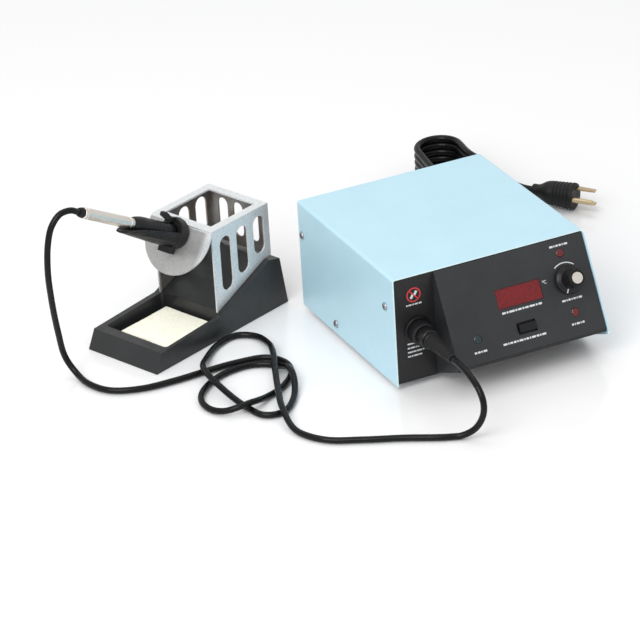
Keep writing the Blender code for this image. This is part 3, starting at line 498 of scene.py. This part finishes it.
def make_black_plastic():
    """Moulded black plastic with a satin skin."""
    colour = (0.009, 0.009, 0.010)
    return plain_finish(
        "black_plastic", colour, 0.33, grain=1300.0, depth=0.05, variation=0.22, specular=0.26,
    )


def make_grey_plastic():
    """Moulded dark grey plastic."""
    colour = (0.060, 0.061, 0.064)
    return plain_finish("grey_plastic", colour, 0.45, grain=1200.0, depth=0.06, variation=0.12)


def make_base_plastic():
    """Heavy stand base: satin black with a leathery grain."""
    colour = (0.017, 0.018, 0.019)
    return plain_finish("base_plastic", colour, 0.42, grain=900.0, depth=0.20, variation=0.2)


def make_glass(name, colour, roughness, transmission):
    """Tinted transparent moulding."""
    made = new_material(name, colour, roughness)
    made["shader"].inputs["Transmission Weight"].default_value = transmission
    made["shader"].inputs["IOR"].default_value = 1.49
    haze = noise_field(made, 200.0)
    feed(made, "Roughness", spread(made, haze, roughness * 0.6, roughness * 1.6))
    cloud = noise_field(made, 90.0, 5.0)
    feed(made, "Base Color", mixed(made, tone(colour, 0.9), tone(colour, 1.1), cloud))
    add_bump(made, noise_field(made, 60.0), 0.1, 0.03 * MM)
    return made


def make_print(name, colour):
    """Screen printed ink, slightly uneven."""
    return plain_finish(name, colour, 0.5, grain=2000.0, depth=0.01, variation=0.08)


def make_copper():
    """Enamelled winding wire, seen as fine rows."""
    colour = (0.52, 0.20, 0.07)
    made = new_material("copper", colour, 0.3, 1.0)
    rows = node(made, "ShaderNodeTexWave", Scale=420.0, Distortion=1.2)
    rows.bands_direction = "Z"
    link(made, coordinates(made), rows.inputs["Vector"])
    feed(made, "Base Color", mixed(made, tone(colour, 0.45), colour, rows.outputs["Fac"]))
    add_bump(made, rows.outputs["Fac"], 0.6, 0.0003)
    return made


def make_core():
    """Stacked silicon steel sheets with varnish."""
    colour = (0.11, 0.11, 0.125)
    made = new_material("iron_core", colour, 0.45, 0.8)
    sheets = node(made, "ShaderNodeTexWave", Scale=300.0, Distortion=0.4)
    sheets.bands_direction = "Y"
    link(made, coordinates(made), sheets.inputs["Vector"])
    dark, light = tone(colour, 0.6), tone(colour, 1.2)
    feed(made, "Base Color", mixed(made, dark, light, sheets.outputs["Fac"]))
    add_bump(made, sheets.outputs["Fac"], 0.4, 0.0002)
    return made


LOOKS = {
    "case_paint": make_case_paint(),
    "charcoal": make_charcoal(),
    "black_plastic": make_black_plastic(),
    "grey_plastic": make_grey_plastic(),
    "base_plastic": make_base_plastic(),
    "rubber": make_rubber(),
    "cord_jacket": make_cord_jacket(),
    "steel": make_brushed("steel", (0.42, 0.43, 0.45), 0.3, (0, 0, 1)),
    "zinc": make_zinc(),
    "cage_zinc": make_cage_zinc(),
    "silver": make_brushed("silver", (0.82, 0.77, 0.71), 0.30, (1, 0, 0)),
    "brass": make_brushed("brass", (0.60, 0.48, 0.30), 0.32, (1, 0, 0)),
    "copper": make_copper(),
    "iron_core": make_core(),
    "board": plain_finish("board", (0.02, 0.15, 0.06), 0.4, grain=500.0, depth=0.1, variation=0.2),
    "window": make_glass("window", (0.56, 0.015, 0.025), 0.06, 0.8),
    "red_lamp": make_glass("red_lamp", (0.17, 0.02, 0.022), 0.14, 0.3),
    "teal_lamp": make_glass("teal_lamp", (0.015, 0.04, 0.045), 0.14, 0.3),
    "digits": plain_finish("digits", (0.52, 0.30, 0.28), 0.5, variation=0.1),
    "white_print": make_print("white_print", (0.62, 0.64, 0.66)),
    "red_print": make_print("red_print", (0.55, 0.03, 0.03)),
    "sponge": make_sponge(),
}


# ---------------------------------------------------------------- shapes

def add_piece(name, shape, matrix, look, body, angle=35.0):
    """A mesh piece from millimetre geometry in a working frame, riding on a body."""
    bmesh.ops.recalc_face_normals(shape, faces=shape.faces)
    shape.transform(matrix @ Matrix.Scale(MM, 4))
    mesh = bpy.data.meshes.new(name)
    shape.to_mesh(mesh)
    shape.free()
    mesh.materials.append(LOOKS[look]["material"])
    mesh.shade_smooth()
    mesh.set_sharp_from_angle(angle=math.radians(angle))
    piece = bpy.data.objects.new(name, mesh)
    bpy.context.scene.collection.objects.link(piece)
    if body is not None:
        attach(piece, body)
    return piece


def box(x_low, x_high, y_low, y_high, z_low, z_high):
    """A box between two corners."""
    shape = bmesh.new()
    size = (x_high - x_low, y_high - y_low, z_high - z_low)
    middle = ((x_low + x_high) / 2, (y_low + y_high) / 2, (z_low + z_high) / 2)
    matrix = Matrix.Translation(middle) @ Matrix.Diagonal((*size, 1.0))
    bmesh.ops.create_cube(shape, size=1.0, matrix=matrix)
    return shape


def turned(profile, segments=48, ripple=None, ring=False):
    """Revolve (radius, height) points round Z; ripple(angle, radius, height) may change the radius."""
    shape = bmesh.new()
    rows = []
    for radius, height in profile:
        if radius < 1e-6:
            rows.append([shape.verts.new((0.0, 0.0, height))])
            continue
        row = []
        for index in range(segments):
            angle = math.tau * index / segments
            reach = ripple(angle, radius, height) if ripple else radius
            row.append(shape.verts.new((reach * math.cos(angle), reach * math.sin(angle), height)))
        rows.append(row)
    pairs = list(zip(rows, rows[1:]))
    if ring:
        pairs.append((rows[-1], rows[0]))
    for lower, upper in pairs:
        for index in range(segments):
            after = (index + 1) % segments
            corners = [lower[index % len(lower)], lower[after % len(lower)]]
            corners += [upper[after % len(upper)], upper[index % len(upper)]]
            corners = list(dict.fromkeys(corners))
            if len(corners) > 2:
                shape.faces.new(corners)
    return shape


def merge(*shapes):
    """Several shapes as one mesh."""
    whole = bmesh.new()
    for shape in shapes:
        mesh = bpy.data.meshes.new("part")
        shape.to_mesh(mesh)
        shape.free()
        whole.from_mesh(mesh)
        bpy.data.meshes.remove(mesh)
    return whole


def moved(shape, at=(0.0, 0.0, 0.0), turn=0.0):
    """A shape turned about Z and then moved."""
    shape.transform(Matrix.Translation(at) @ Matrix.Rotation(turn, 4, "Z"))
    return shape


def smooth_route(route, step):
    """Even samples of a centripetal Catmull-Rom curve through the route's points."""
    points = np.array(route, dtype=float)
    points = np.vstack([2 * points[0] - points[1], points, 2 * points[-1] - points[-2]])
    dense = []
    for index in range(1, len(points) - 2):
        a, b, c, d = points[index - 1:index + 3]
        t1 = math.sqrt(np.linalg.norm(b - a))
        t2 = t1 + math.sqrt(np.linalg.norm(c - b))
        t3 = t2 + math.sqrt(np.linalg.norm(d - c))
        for t in np.linspace(t1, t2, 24, endpoint=False):
            ab = (t1 - t) / t1 * a + t / t1 * b
            bc = (t2 - t) / (t2 - t1) * b + (t - t1) / (t2 - t1) * c
            cd = (t3 - t) / (t3 - t2) * c + (t - t2) / (t3 - t2) * d
            abc = (t2 - t) / t2 * ab + t / t2 * bc
            bcd = (t3 - t) / (t3 - t1) * bc + (t - t1) / (t3 - t1) * cd
            dense.append((t2 - t) / (t2 - t1) * abc + (t - t1) / (t2 - t1) * bcd)
    dense.append(points[-2])
    dense = np.array(dense)
    along = np.concatenate([[0.0], np.cumsum(np.linalg.norm(np.diff(dense, axis=0), axis=1))])
    even = np.linspace(0.0, along[-1], int(along[-1] / step) + 1)
    return np.column_stack([np.interp(even, along, dense[:, axis]) for axis in range(3)])


def bridge(shape, rows):
    """Faces between each ring of vertices and the next."""
    for first, second in zip(rows, rows[1:]):
        for index in range(len(first)):
            after = (index + 1) % len(first)
            shape.faces.new((first[index], first[after], second[after], second[index]))


def tube(points, radius, segments=16):
    """A round tube along points, with flat ends."""
    shape = bmesh.new()
    points = [Vector(point) for point in points]
    heading = (points[1] - points[0]).normalized()
    side = heading.orthogonal().normalized()
    rows = []
    for index, point in enumerate(points):
        ahead = points[min(index + 1, len(points) - 1)] - points[max(index - 1, 0)]
        ahead.normalize()
        side = (side - ahead * side.dot(ahead)).normalized()
        other = ahead.cross(side)
        row = []
        for step in range(segments):
            angle = math.tau * step / segments
            out = math.cos(angle) * side + math.sin(angle) * other
            row.append(shape.verts.new(point + radius * out))
        rows.append(row)
    bridge(shape, rows)
    shape.faces.new(rows[0][::-1])
    shape.faces.new(rows[-1])
    return shape


def cut_away(piece, shape, matrix):
    """Cut a millimetre shape out of a piece at once."""
    shape.transform(matrix @ Matrix.Scale(MM, 4))
    mesh = bpy.data.meshes.new("cutter")
    shape.to_mesh(mesh)
    shape.free()
    cutter = bpy.data.objects.new("cutter", mesh)
    bpy.context.scene.collection.objects.link(cutter)
    modifier = piece.modifiers.new("cut", "BOOLEAN")
    modifier.operation = "DIFFERENCE"
    modifier.solver = "EXACT"
    modifier.object = cutter
    bpy.context.view_layer.update()
    evaluated = piece.evaluated_get(bpy.context.evaluated_depsgraph_get())
    result = bpy.data.meshes.new_from_object(evaluated)
    piece.modifiers.clear()
    piece.data = result
    bpy.data.objects.remove(cutter)
    result.shade_smooth()
    result.set_sharp_from_angle(angle=math.radians(35))


def finish_node(name, look, edge=0.0):
    """Give a CAD node its material and, where edge is more than 0, softly rounded edges."""
    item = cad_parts[name]
    if not item.material_slots:
        item.data.materials.append(LOOKS[look]["material"])
    for slot in item.material_slots:
        slot.link = "OBJECT"
        slot.material = LOOKS[look]["material"]
    if edge > 0:
        modifier = item.modifiers.new("edges", "BEVEL")
        modifier.width = edge * MM
        modifier.segments = 2
        modifier.limit_method = "ANGLE"
        modifier.angle_limit = math.radians(40)
        modifier.harden_normals = True


# ---------------------------------------------------------------- leads

def on_surface(points, radius):
    """Route points kept above the table."""
    points[:, 2] = np.maximum(points[:, 2], radius + FLOOR_CLEARANCE)
    return points


def hank_route():
    """The folded mains lead, as station points: clockwise loops that rise from entry to exit."""
    loop = 2 * HANK_RUN + math.tau * HANK_LOOP_RADIUS
    last = HANK_TURNS * loop + 2 * HANK_RUN + math.pi * HANK_LOOP_RADIUS - HANK_EXIT
    steps = int((last - HANK_ENTRY) / HANK_STEP)
    turn = Matrix.Rotation(HANK_HEADING, 3, "Z")
    route = []
    for index in range(steps + 1):
        along = HANK_ENTRY + (last - HANK_ENTRY) * index / steps
        height = HANK_BOTTOM + MAINS_CORD_RADIUS + HANK_PITCH * (along - HANK_ENTRY) / loop
        spot = turn @ Vector((*loop_point(along % loop), height))
        route.append((spot.x + HANK_FRONT[0], spot.y + HANK_FRONT[1], height))
    return route


def loop_point(along):
    """A point of one long loop, at a distance from the front of its left run."""
    radius = HANK_LOOP_RADIUS
    half = math.pi * radius
    if along < HANK_RUN:
        return along, radius
    along -= HANK_RUN
    if along < half:
        angle = math.pi / 2 - along / radius
        return HANK_RUN + radius * math.cos(angle), radius * math.sin(angle)
    along -= half
    if along < HANK_RUN:
        return HANK_RUN - along, -radius
    angle = -math.pi / 2 - (along - HANK_RUN) / radius
    return radius * math.cos(angle), radius * math.sin(angle)


def add_iron_cord():
    """The iron's lead, from its boot over the table to its plug."""
    route = on_surface(smooth_route(IRON_CORD_ROUTE, 3.0), IRON_CORD_RADIUS)
    cord = add_piece("iron_lead", tube(route, IRON_CORD_RADIUS), STATION, "cord_jacket", None)
    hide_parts("iron_cord")
    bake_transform(cord)


def add_mains_cord():
    """The mains lead, folded into a tied hank behind the control unit."""
    whole = [*MAINS_CORD_ROUTE, *hank_route(), *MAINS_TAIL_ROUTE]
    route = on_surface(smooth_route(whole, 2.5), MAINS_CORD_RADIUS)
    cord = add_piece("mains_lead", tube(route, MAINS_CORD_RADIUS), STATION, "cord_jacket", "station")
    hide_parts("mains_cord", "mains_hank", "mains_tail")


# ---------------------------------------------------------------- control unit

NODE_LOOKS = {
    "cover": ("case_paint", 0.25),
    "chassis_pan": ("zinc", 0.0),
    "rear_panel": ("charcoal", 0.0),
    "front_bezel": ("charcoal", 0.35),
    "display_window": ("window", 0.15),
    "display_module": ("grey_plastic", 0.2),
    "control_board": ("board", 0.0),
    "set_mode_lamp": ("red_lamp", 0.0),
    "heater_lamp": ("red_lamp", 0.0),
    "power_lamp": ("teal_lamp", 0.0),
    "pot_body": ("grey_plastic", 0.2),
    "knob_shaft": ("steel", 0.0),
    "mode_switch_body": ("black_plastic", 0.2),
    "mode_switch_button": ("black_plastic", 0.35),
    "power_switch_body": ("black_plastic", 0.3),
    "power_rocker": ("black_plastic", 0.4),
    "transformer_core": ("iron_core", 0.2),
    "transformer_coil": ("copper", 1.0),
    "iron_socket": ("black_plastic", 0.2),
    "fuse_holder": ("black_plastic", 0.2),
    "fuse_cap": ("grey_plastic", 0.3),
    "stand_base": ("base_plastic", 0.0),
    "stand_bracket": ("cage_zinc", 0.25),
    "iron_holder": ("black_plastic", 0.3),
    "holder_ring": ("black_plastic", 0.2),
    "iron_barrel": ("steel", 0.2),
    "iron_tip": ("iron_core", 0.0),
    "barrel_nut": ("steel", 0.2),
    "plug_blade_1": ("brass", 0.2),
    "plug_blade_2": ("brass", 0.2),
    "plug_ground": ("brass", 0.0),
}


def finish_nodes():
    """Materials and soft edges of the CAD nodes that keep their shape."""
    for name, (look, edge) in NODE_LOOKS.items():
        finish_node(name, look, edge)
    for index in range(1, 5):
        finish_node(f"foot_{index}", "rubber", 0.4)


def add_screws():
    """Pan head screws with a cross recess in the cover's sides."""
    profile = [(0.0, -4.0), (1.5, -4.0), (1.5, 0.15), (3.5, 0.15), (3.5, 0.55)]
    for step in range(1, 7):
        angle = math.radians(15 * step)
        profile.append((3.45 * math.cos(angle), 0.55 + 1.5 * math.sin(angle)))
    for side, x, turn in (("left", 0.0, -math.pi / 2), ("right", CASE_WIDTH, math.pi / 2)):
        for index, (y, z) in enumerate(SCREW_PLACES, start=1):
            matrix = place(STATION, (x, y, z), y_turn=turn)
            matrix = matrix @ Matrix.Rotation(math.radians(37.0 * index), 4, "Z")
            name = f"cover_screw_{side}_{index}"
            screw = add_piece(f"{name}_head", turned(profile, 40), matrix, "steel", "station")
            cut_away(screw, box(-2.3, 2.3, -0.5, 0.5, 0.7, 3.0), matrix)
            cut_away(screw, box(-0.5, 0.5, -2.3, 2.3, 0.7, 3.0), matrix)
            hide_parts(name)


def plate(x, y, width, height):
    """A thin printed patch on a face, by its centre."""
    low, high = y - height / 2, y + height / 2
    return box(x - width / 2, x + width / 2, low, high, 0.0, PRINT_THICKNESS)


def dashes(x_low, x_high, y, widths, height=1.6, gap=0.8):
    """A row of printed dashes that fills a length."""
    unit = (x_high - x_low - gap * (len(widths) - 1)) / sum(widths)
    shapes, x = [], x_low
    for width in widths:
        shapes.append(plate(x + width * unit / 2, y, width * unit, height))
        x += width * unit + gap
    return merge(*shapes)


def printed_arc(centre, radius, start, end, width, steps=20):
    """A printed line along an arc, angles in degrees."""
    shape = bmesh.new()
    rows = []
    for index in range(steps + 1):
        angle = math.radians(start + (end - start) * index / steps)
        row = []
        for reach in (radius - width / 2, radius + width / 2):
            x, y = centre[0] + reach * math.cos(angle), centre[1] + reach * math.sin(angle)
            for height in (0.0, PRINT_THICKNESS):
                row.append(shape.verts.new((x, y, height)))
        rows.append([row[0], row[2], row[3], row[1]])
    bridge(shape, rows)
    shape.faces.new(rows[0][::-1])
    shape.faces.new(rows[-1])
    return shape


def add_prints():
    """Plain printed marks: rows of dashes for the captions, the knob's arc and the bay's ring."""
    # Each row's two ends, its height on the panel and its dashes' widths in proportion
    rows = (
        (142.7, 159.4, -8.1, (3, 1, 2, 2, 1, 3)), (141.7, 160.2, -53.5, (3, 1, 2, 1, 2, 1, 3)),
        (145.0, 156.6, -74.0, (2, 1, 3, 1, 2)), (54.3, 65.7, -75.2, (2, 2, 1, 3)),
        (80.9, 120.5, -74.8, (3, 1, 2, 2, 1, 3, 1, 2, 1, 3, 2, 1, 3)),
        (86.8, 123.7, -50.0, (2, 1, 3, 1, 2, 1, 2, 3, 1, 2)),
    )
    marks = [dashes(*row) for row in rows]
    marks.append(printed_arc(KNOB_AT, 14.4, 50.0, 126.0, 0.9))
    # The unit's sign: a small ring and an open one
    marks.append(printed_arc((129.4, -33.4), 0.7, 0.0, 360.0, 0.3))
    marks.append(printed_arc((131.6, -34.2), 1.3, 50.0, 310.0, 0.4))
    add_piece("panel_marks", merge(*marks), PANEL, "white_print", "station")
    lines = [dashes(12.0, 26.0, 75.0, (1, 2, 1, 2, 2), 1.3)]
    for index, widths in enumerate(((3, 1, 2), (2, 3, 1, 3), (3, 2, 3, 1), (2, 1, 3, 2))):
        lines.append(dashes(11.5, 26.5 - 2 * (index % 2), 40.0 - 3.8 * index, widths, 1.3, 0.6))
    add_piece("bay_marks", merge(*lines), BAY, "white_print", "station")
    ring = printed_arc((0.0, 0.0), 5.9, 0.0, 360.0, 1.2, 40)
    bar = moved(box(-5.6, 5.6, -0.5, 0.5, 0.0, 0.05), turn=math.radians(-48.0))
    at = place(BAY, (19.1, 83.6, 0.0))
    add_piece("bay_ring", merge(ring, bar), at, "red_print", "station")
    bolt = merge(
        moved(box(-1.1, 1.1, -2.0, 2.0, 0.0, 0.04), (1.6, 1.3, 0.0), math.radians(-30.0)),
        moved(box(-1.1, 1.1, -2.0, 2.0, 0.0, 0.04), (-1.6, -1.3, 0.0), math.radians(-30.0)),
    )
    add_piece("bay_flash", bolt, at, "white_print", "station")


def segment(length, width):
    """One bar of a digit, with pointed ends."""
    reach = length / 2
    half = width / 2
    outline = [(-reach, 0.0), (half - reach, half), (reach - half, half), (reach, 0.0)]
    outline += [(reach - half, -half), (half - reach, -half)]
    shape = bmesh.new()
    low = [shape.verts.new((x, y, 0.0)) for x, y in outline]
    high = [shape.verts.new((x, y, BAR_THICKNESS)) for x, y in outline]
    shape.faces.new(low[::-1])
    shape.faces.new(high)
    bridge(shape, [low, high])
    return shape


def add_digits():
    """Three unlit digits of seven bars on the display module."""
    bars = []
    x_middle = (WINDOW[0] + WINDOW[1]) / 2
    y_middle = (WINDOW[2] + WINDOW[3]) / 2
    lean = math.sin(DIGIT_SLANT)
    for index in range(3):
        x = x_middle + DIGIT_PITCH * (index - 1)
        for level in (-1, 0, 1):
            rise = DIGIT_HALF_HEIGHT * level
            bars.append(moved(segment(5.4, BAR_WIDTH), (x + rise * lean, y_middle + rise, 0.0)))
        for side in (-1, 1):
            for level in (-1, 1):
                rise = DIGIT_HALF_HEIGHT / 2 * level
                spot = (x + DIGIT_HALF_WIDTH * side + rise * lean, y_middle + rise, 0.0)
                bars.append(moved(segment(5.0, BAR_WIDTH), spot, math.pi / 2 - DIGIT_SLANT))
    at = place(PANEL, (0.0, 0.0, DIGIT_DEPTH))
    add_piece("display_digits", merge(*bars), at, "digits", "station")


def add_knob():
    """Fluted knob with a pointer line on its skirt and a spun metal cap."""
    def flutes(angle, radius, height):
        if height < 5.3 or radius < 7.0:
            return radius
        depth = 0.42 * (0.5 + 0.5 * math.cos(24 * angle)) ** 0.7
        return radius - depth * min(1.0, height - 5.2) * min(1.0, (19.7 - height) / 0.5)

    profile = [(3.4, 1.6), (11.5, 1.6), (11.9, 1.9), (12.0, 2.4), (11.7, 3.6), (11.0, 4.6)]
    profile += [(8.3, 5.2), (7.95, 5.6), (7.9, 6.4), (7.75, 10.0), (7.6, 14.0), (7.5, 18.6)]
    profile += [(7.4, 19.2), (7.0, 19.55), (5.4, 19.6), (5.2, 19.4), (5.1, 18.4), (0.0, 18.4)]
    profile += [(0.0, 13.6), (3.4, 13.6)]
    matrix = place(PANEL, (*KNOB_AT, 0.0))
    body = turned(profile, 144, flutes, ring=True)
    knob = add_piece("knob_body", body, matrix, "black_plastic", "knob", 50.0)
    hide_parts("knob")
    line = box(8.2, 11.6, -0.45, 0.45, 4.3, 5.4)
    for corner in line.verts:
        if corner.co.x > 10.0:
            corner.co.z -= 0.7
    pointing = matrix @ Matrix.Rotation(math.radians(-115.0), 4, "Z")
    add_piece("knob_pointer", line, pointing, "white_print", "knob")
    cap = [(0.0, 18.7), (4.9, 18.7), (4.9, 19.9), (4.7, 20.25), (4.3, 20.38), (3.9, 20.3)]
    cap += [(3.6 - 0.4 * step, 20.26 if step % 2 else 20.2) for step in range(8)]
    cap += [(0.0, 20.24)]
    top = add_piece("knob_top", turned(cap, 64), matrix, "silver", "knob")
    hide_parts("knob_cap")


def add_rocker_marks():
    """A bar and a ring on the two halves of the power rocker."""
    bar = box(4.1, 6.3, -0.3, 0.3, 4.55, 4.75)
    ring = moved(printed_arc((0.0, 0.0), 1.3, 0.0, 360.0, 0.45, 24), (-5.2, 0.0, 4.62))
    at = place(REAR, (0.0, 0.0, -1.0))
    add_piece("power_rocker_marks", merge(bar, ring), at, "white_print", "power_rocker")


def add_rear_screws():
    """Small screws that hold the transformer inside the case."""
    profile = [(0.0, 0.0), (2.6, 0.0), (2.6, 0.9), (1.9, 1.5), (0.0, 1.7)]
    heads = [moved(turned(profile, 24), (60.0 + side, 102.0, 5.9)) for side in (-28.0, 28.0)]
    add_piece("transformer_screws", merge(*heads), STATION, "steel", "station")


# ---------------------------------------------------------------- connectors

def grooves(count, depth):
    """Ripple that cuts evenly spaced round grooves."""
    def ripple(angle, radius, height):
        return radius - depth * (0.5 + 0.5 * math.cos(count * angle)) ** 3
    return ripple


def ribs(start, pitch, count, first, last, groove):
    """Profile of a ribbed boot: rounded ribs that narrow from first to last."""
    points = []
    for index in range(count):
        z = start + pitch * index
        radius = first + (last - first) * index / (count - 1)
        points += [(radius - groove, z), (radius - 0.15, z + 0.15 * pitch), (radius, z + 0.3 * pitch)]
        points += [(radius - 0.15, z + 0.5 * pitch), (radius - groove, z + 0.65 * pitch)]
    return points


def add_iron_plug():
    """Plug of the iron's lead: body, knurled lock ring and ribbed boot."""
    shell = [(0.0, -9.0), (7.4, -9.0), (7.4, 13.4), (8.0, 14.0), (8.4, 14.6), (8.4, 22.4)]
    shell += [(8.1, 23.0), (7.4, 23.6), (0.0, 23.6)]
    body = add_piece("plug_body", turned(shell, 64), SOCKET, "black_plastic", "station")
    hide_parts("plug_shell")
    ring = [(7.8, 2.9), (9.4, 2.9), (9.9, 3.2), (10.2, 3.8), (10.2, 12.3), (9.9, 12.9)]
    knurled = turned([*ring, (9.4, 13.2), (7.8, 13.2)], 160, grooves(32, 0.35), True)
    lock = add_piece("plug_lock", knurled, SOCKET, "black_plastic", "plug_ring", 50.0)
    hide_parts("plug_ring")
    boot = [(0.0, 23.9), (6.4, 23.9), (6.6, 24.2), *ribs(25.4, 2.8, 12, 6.5, 4.3, 0.7)]
    boot += [(3.9, 60.0), (3.6, 61.7), (3.4, 61.9), (0.0, 61.9)]
    sleeve = add_piece("plug_sleeve", turned(boot, 40), SOCKET, "rubber", "station")
    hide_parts("plug_boot")


def add_gland():
    """Strain relief of the mains lead."""
    grip = [(0.0, -7.0), (6.0, -7.0), (6.0, 0.3), (8.0, 0.3), (8.2, 0.5), (8.2, 2.9), (7.9, 3.2)]
    grip += [(6.2, 4.2), *ribs(5.2, 4.6, 4, 5.9, 4.55, 0.75), (3.7, 25.1), (0.0, 25.1)]
    sleeve = add_piece("mains_sleeve", turned(grip, 40), GLAND, "rubber", "station")
    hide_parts("mains_gland")


def add_mains_plug():
    """Moulded plug with a ribbed neck, a waisted body and a stepped face."""
    body = [(0.0, 0.0), (5.2, 0.0), (5.6, 0.3), (5.8, 0.9), (5.8, 5.2), (6.0, 6.2), (6.8, 8.0)]
    body += [(8.3, 10.6), (9.6, 12.8), (10.4, 15.2), (10.9, 18.0), (11.0, 19.6)]
    body += [*ribs(20.4, 3.4, 5, 11.3, 12.0, 0.6), (12.0, 37.8), (12.2, 38.2), (12.2, 40.2)]
    body += [(11.9, 41.0), (11.4, 41.4), (0.0, 41.4)]
    matrix = PLUG @ Matrix.Rotation(math.pi / 2, 4, "Y")
    plug = add_piece("plug_moulding", turned(body, 64), matrix, "rubber", "station")
    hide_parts("mains_plug")


def add_tie():
    """Flat vinyl tie round the middle of the folded lead, with its twisted ends on top."""
    matrix = place(STATION, (*HANK_FRONT, 0.0), z_turn=HANK_HEADING)
    middle = HANK_RUN / 2
    outer = HANK_HALF_WIDTH + 0.9
    low, high = HANK_BOTTOM - 1.0, HANK_TOP - 0.8
    corner = 4.5
    section = ((-2.4, 0.0), (-2.0, 0.25), (2.0, 0.25), (2.4, 0.0), (2.0, -0.55), (-2.0, -0.55))
    path = []
    for y, z, start in (
        (outer - corner, low + corner, -90.0), (outer - corner, high - corner, 0.0),
        (corner - outer, high - corner, 90.0), (corner - outer, low + corner, 180.0),
    ):
        for step in range(9):
            angle = math.radians(start + 11.25 * step)
            path.append(((y, z), (math.cos(angle), math.sin(angle)), corner))
    shape = bmesh.new()
    rows = []
    for (y, z), (out_y, out_z), radius in path:
        row = []
        for across, depth in section:
            reach = radius + depth
            row.append(shape.verts.new((middle + across, y + reach * out_y, z + reach * out_z)))
        rows.append(row)
    bridge(shape, rows + rows[:1])
    tails = []
    for phase in (0.0, math.pi):
        points = []
        for step in range(25):
            angle = phase + 1.2 * step
            height = high - 0.2 + 0.7 * math.sin(angle)
            points.append((middle + 0.7 * math.cos(angle), 2.0 + 0.75 * step, height))
        tails.append(tube(points, 0.6, 8))
    band = add_piece("hank_tie", merge(shape, *tails), matrix, "grey_plastic", "station")
    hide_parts("cord_tie")


# ---------------------------------------------------------------- stand and iron

def add_sponge():
    """Cellulose pad: softly crowned, rounded at its edges and pitted with pores."""
    x_low, x_high, y_low, y_high = SPONGE
    low, high = TRAY_FLOOR + 0.3, SPONGE_TOP
    half = Vector(((x_high - x_low) / 2, (y_high - y_low) / 2, (high - low) / 2))
    centre = Vector(((x_low + x_high) / 2, (y_low + y_high) / 2, (low + high) / 2))
    shape = surface_grid(96, 96, 8)
    corner = 1.7
    for vertex in shape.verts:
        unit = vertex.co.copy()
        spot = Vector((unit.x * half.x, unit.y * half.y, unit.z * half.z))
        inner = Vector(tuple(max(-h + corner, min(h - corner, s)) for s, h in zip(spot, half)))
        away = spot - inner
        if away.length > 1e-6:
            spot = inner + away.normalized() * corner
        waist = 0.7 * (1 - abs(unit.x * unit.y)) * (abs(unit.x) ** 6 + abs(unit.y) ** 6)
        spot.x -= waist * unit.x
        spot.y -= waist * unit.y
        outward = away.normalized() if away.length > 1e-6 else Vector((0.0, 0.0, 0.0))
        if unit.z > -0.9:
            sag = 0.55 * (1 - (1 - unit.x ** 4) * (1 - unit.y ** 4)) * (0.5 + 0.5 * unit.z)
            wave = 0.3 * noise.noise(Vector((spot.x * 0.05, spot.y * 0.05, 3.0))) * (0.5 + 0.5 * unit.z)
            spot.z -= sag + abs(wave)
            pore = noise.voronoi(Vector(spot) * 0.42)[0][0]
            pit = 0.5 * max(0.0, 0.42 - pore) / 0.42 + 0.12 * abs(noise.noise(Vector(spot) * 1.3))
            spot -= outward * pit
        vertex.co = centre + spot
    pad = add_piece("sponge_pad", shape, STAND, "sponge", "sponge", 60.0)
    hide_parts("sponge")


def surface_grid(nx, ny, nz):
    """The surface of a cube from -1 to 1, divided into cells."""
    shape = bmesh.new()
    known = {}
    counts = (nx, ny, nz)

    def vertex(*cell):
        if cell not in known:
            known[cell] = shape.verts.new([2 * step / count - 1 for step, count in zip(cell, counts)])
        return known[cell]

    for fixed in range(3):
        first, second = [part for part in range(3) if part != fixed]
        for level in (0, counts[fixed]):
            for a in range(counts[first]):
                for b in range(counts[second]):
                    corners = []
                    for da, db in ((0, 0), (1, 0), (1, 1), (0, 1)):
                        cell = [level, level, level]
                        cell[first], cell[second] = a + da, b + db
                        corners.append(vertex(*cell))
                    shape.faces.new(corners)
    return shape


def add_iron():
    """The iron's shell pieces: grip with finger rings, metal handle and ribbed cord boot."""
    grip = [(0.0, 7.1), (6.4, 7.1), (6.7, 7.5), (7.1, 10.0), (7.25, 14.0)]
    for index in range(6):
        z = 17.0 + 4.6 * index
        grip += [(7.35, z), (6.9, z + 0.5), (6.9, z + 1.3), (7.4, z + 1.8)]
    grip += [(7.5, 47.5), (7.35, 52.0), (6.9, 55.5), (6.3, 58.4), (5.7, 60.5), (5.4, 61.0)]
    grip += [(0.0, 61.0)]
    sleeve = add_piece("iron_sleeve", turned(grip, 56), AXIS, "black_plastic", "iron")
    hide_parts("iron_grip")
    shell = [(0.0, 61.3), (4.5, 61.3), (4.8, 61.5), (4.9, 61.9), (4.9, 65.7), (4.6, 66.0), (4.6, 66.6)]
    shell += [(4.9, 66.9), (4.9, 119.8), (4.65, 120.1), (4.65, 120.7), (4.9, 121.0), (4.9, 122.6)]
    shell += [(4.7, 123.2), (4.3, 123.5), (0.0, 123.5)]
    handle = add_piece("iron_tube", turned(shell, 56), AXIS, "silver", "iron")
    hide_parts("iron_handle")
    boot = [(0.0, 123.8), (4.1, 123.8), (4.35, 124.1), (4.3, 125.3), (3.8, 125.6), (3.8, 126.1)]
    boot += [(4.05, 126.4), (3.8, 127.5), (3.5, 128.3), (3.3, 128.5), (0.0, 128.5)]
    tail = add_piece("iron_tail", turned(boot, 40), AXIS, "rubber", "iron")
    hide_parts("iron_boot")


# ---------------------------------------------------------------- the scene

add_camera()
add_studio()
finish_nodes()
add_screws()
add_prints()
add_digits()
add_knob()
add_rocker_marks()
add_rear_screws()
add_iron_plug()
add_gland()
add_mains_plug()
add_tie()
add_iron_cord()
add_mains_cord()
add_sponge()
add_iron()
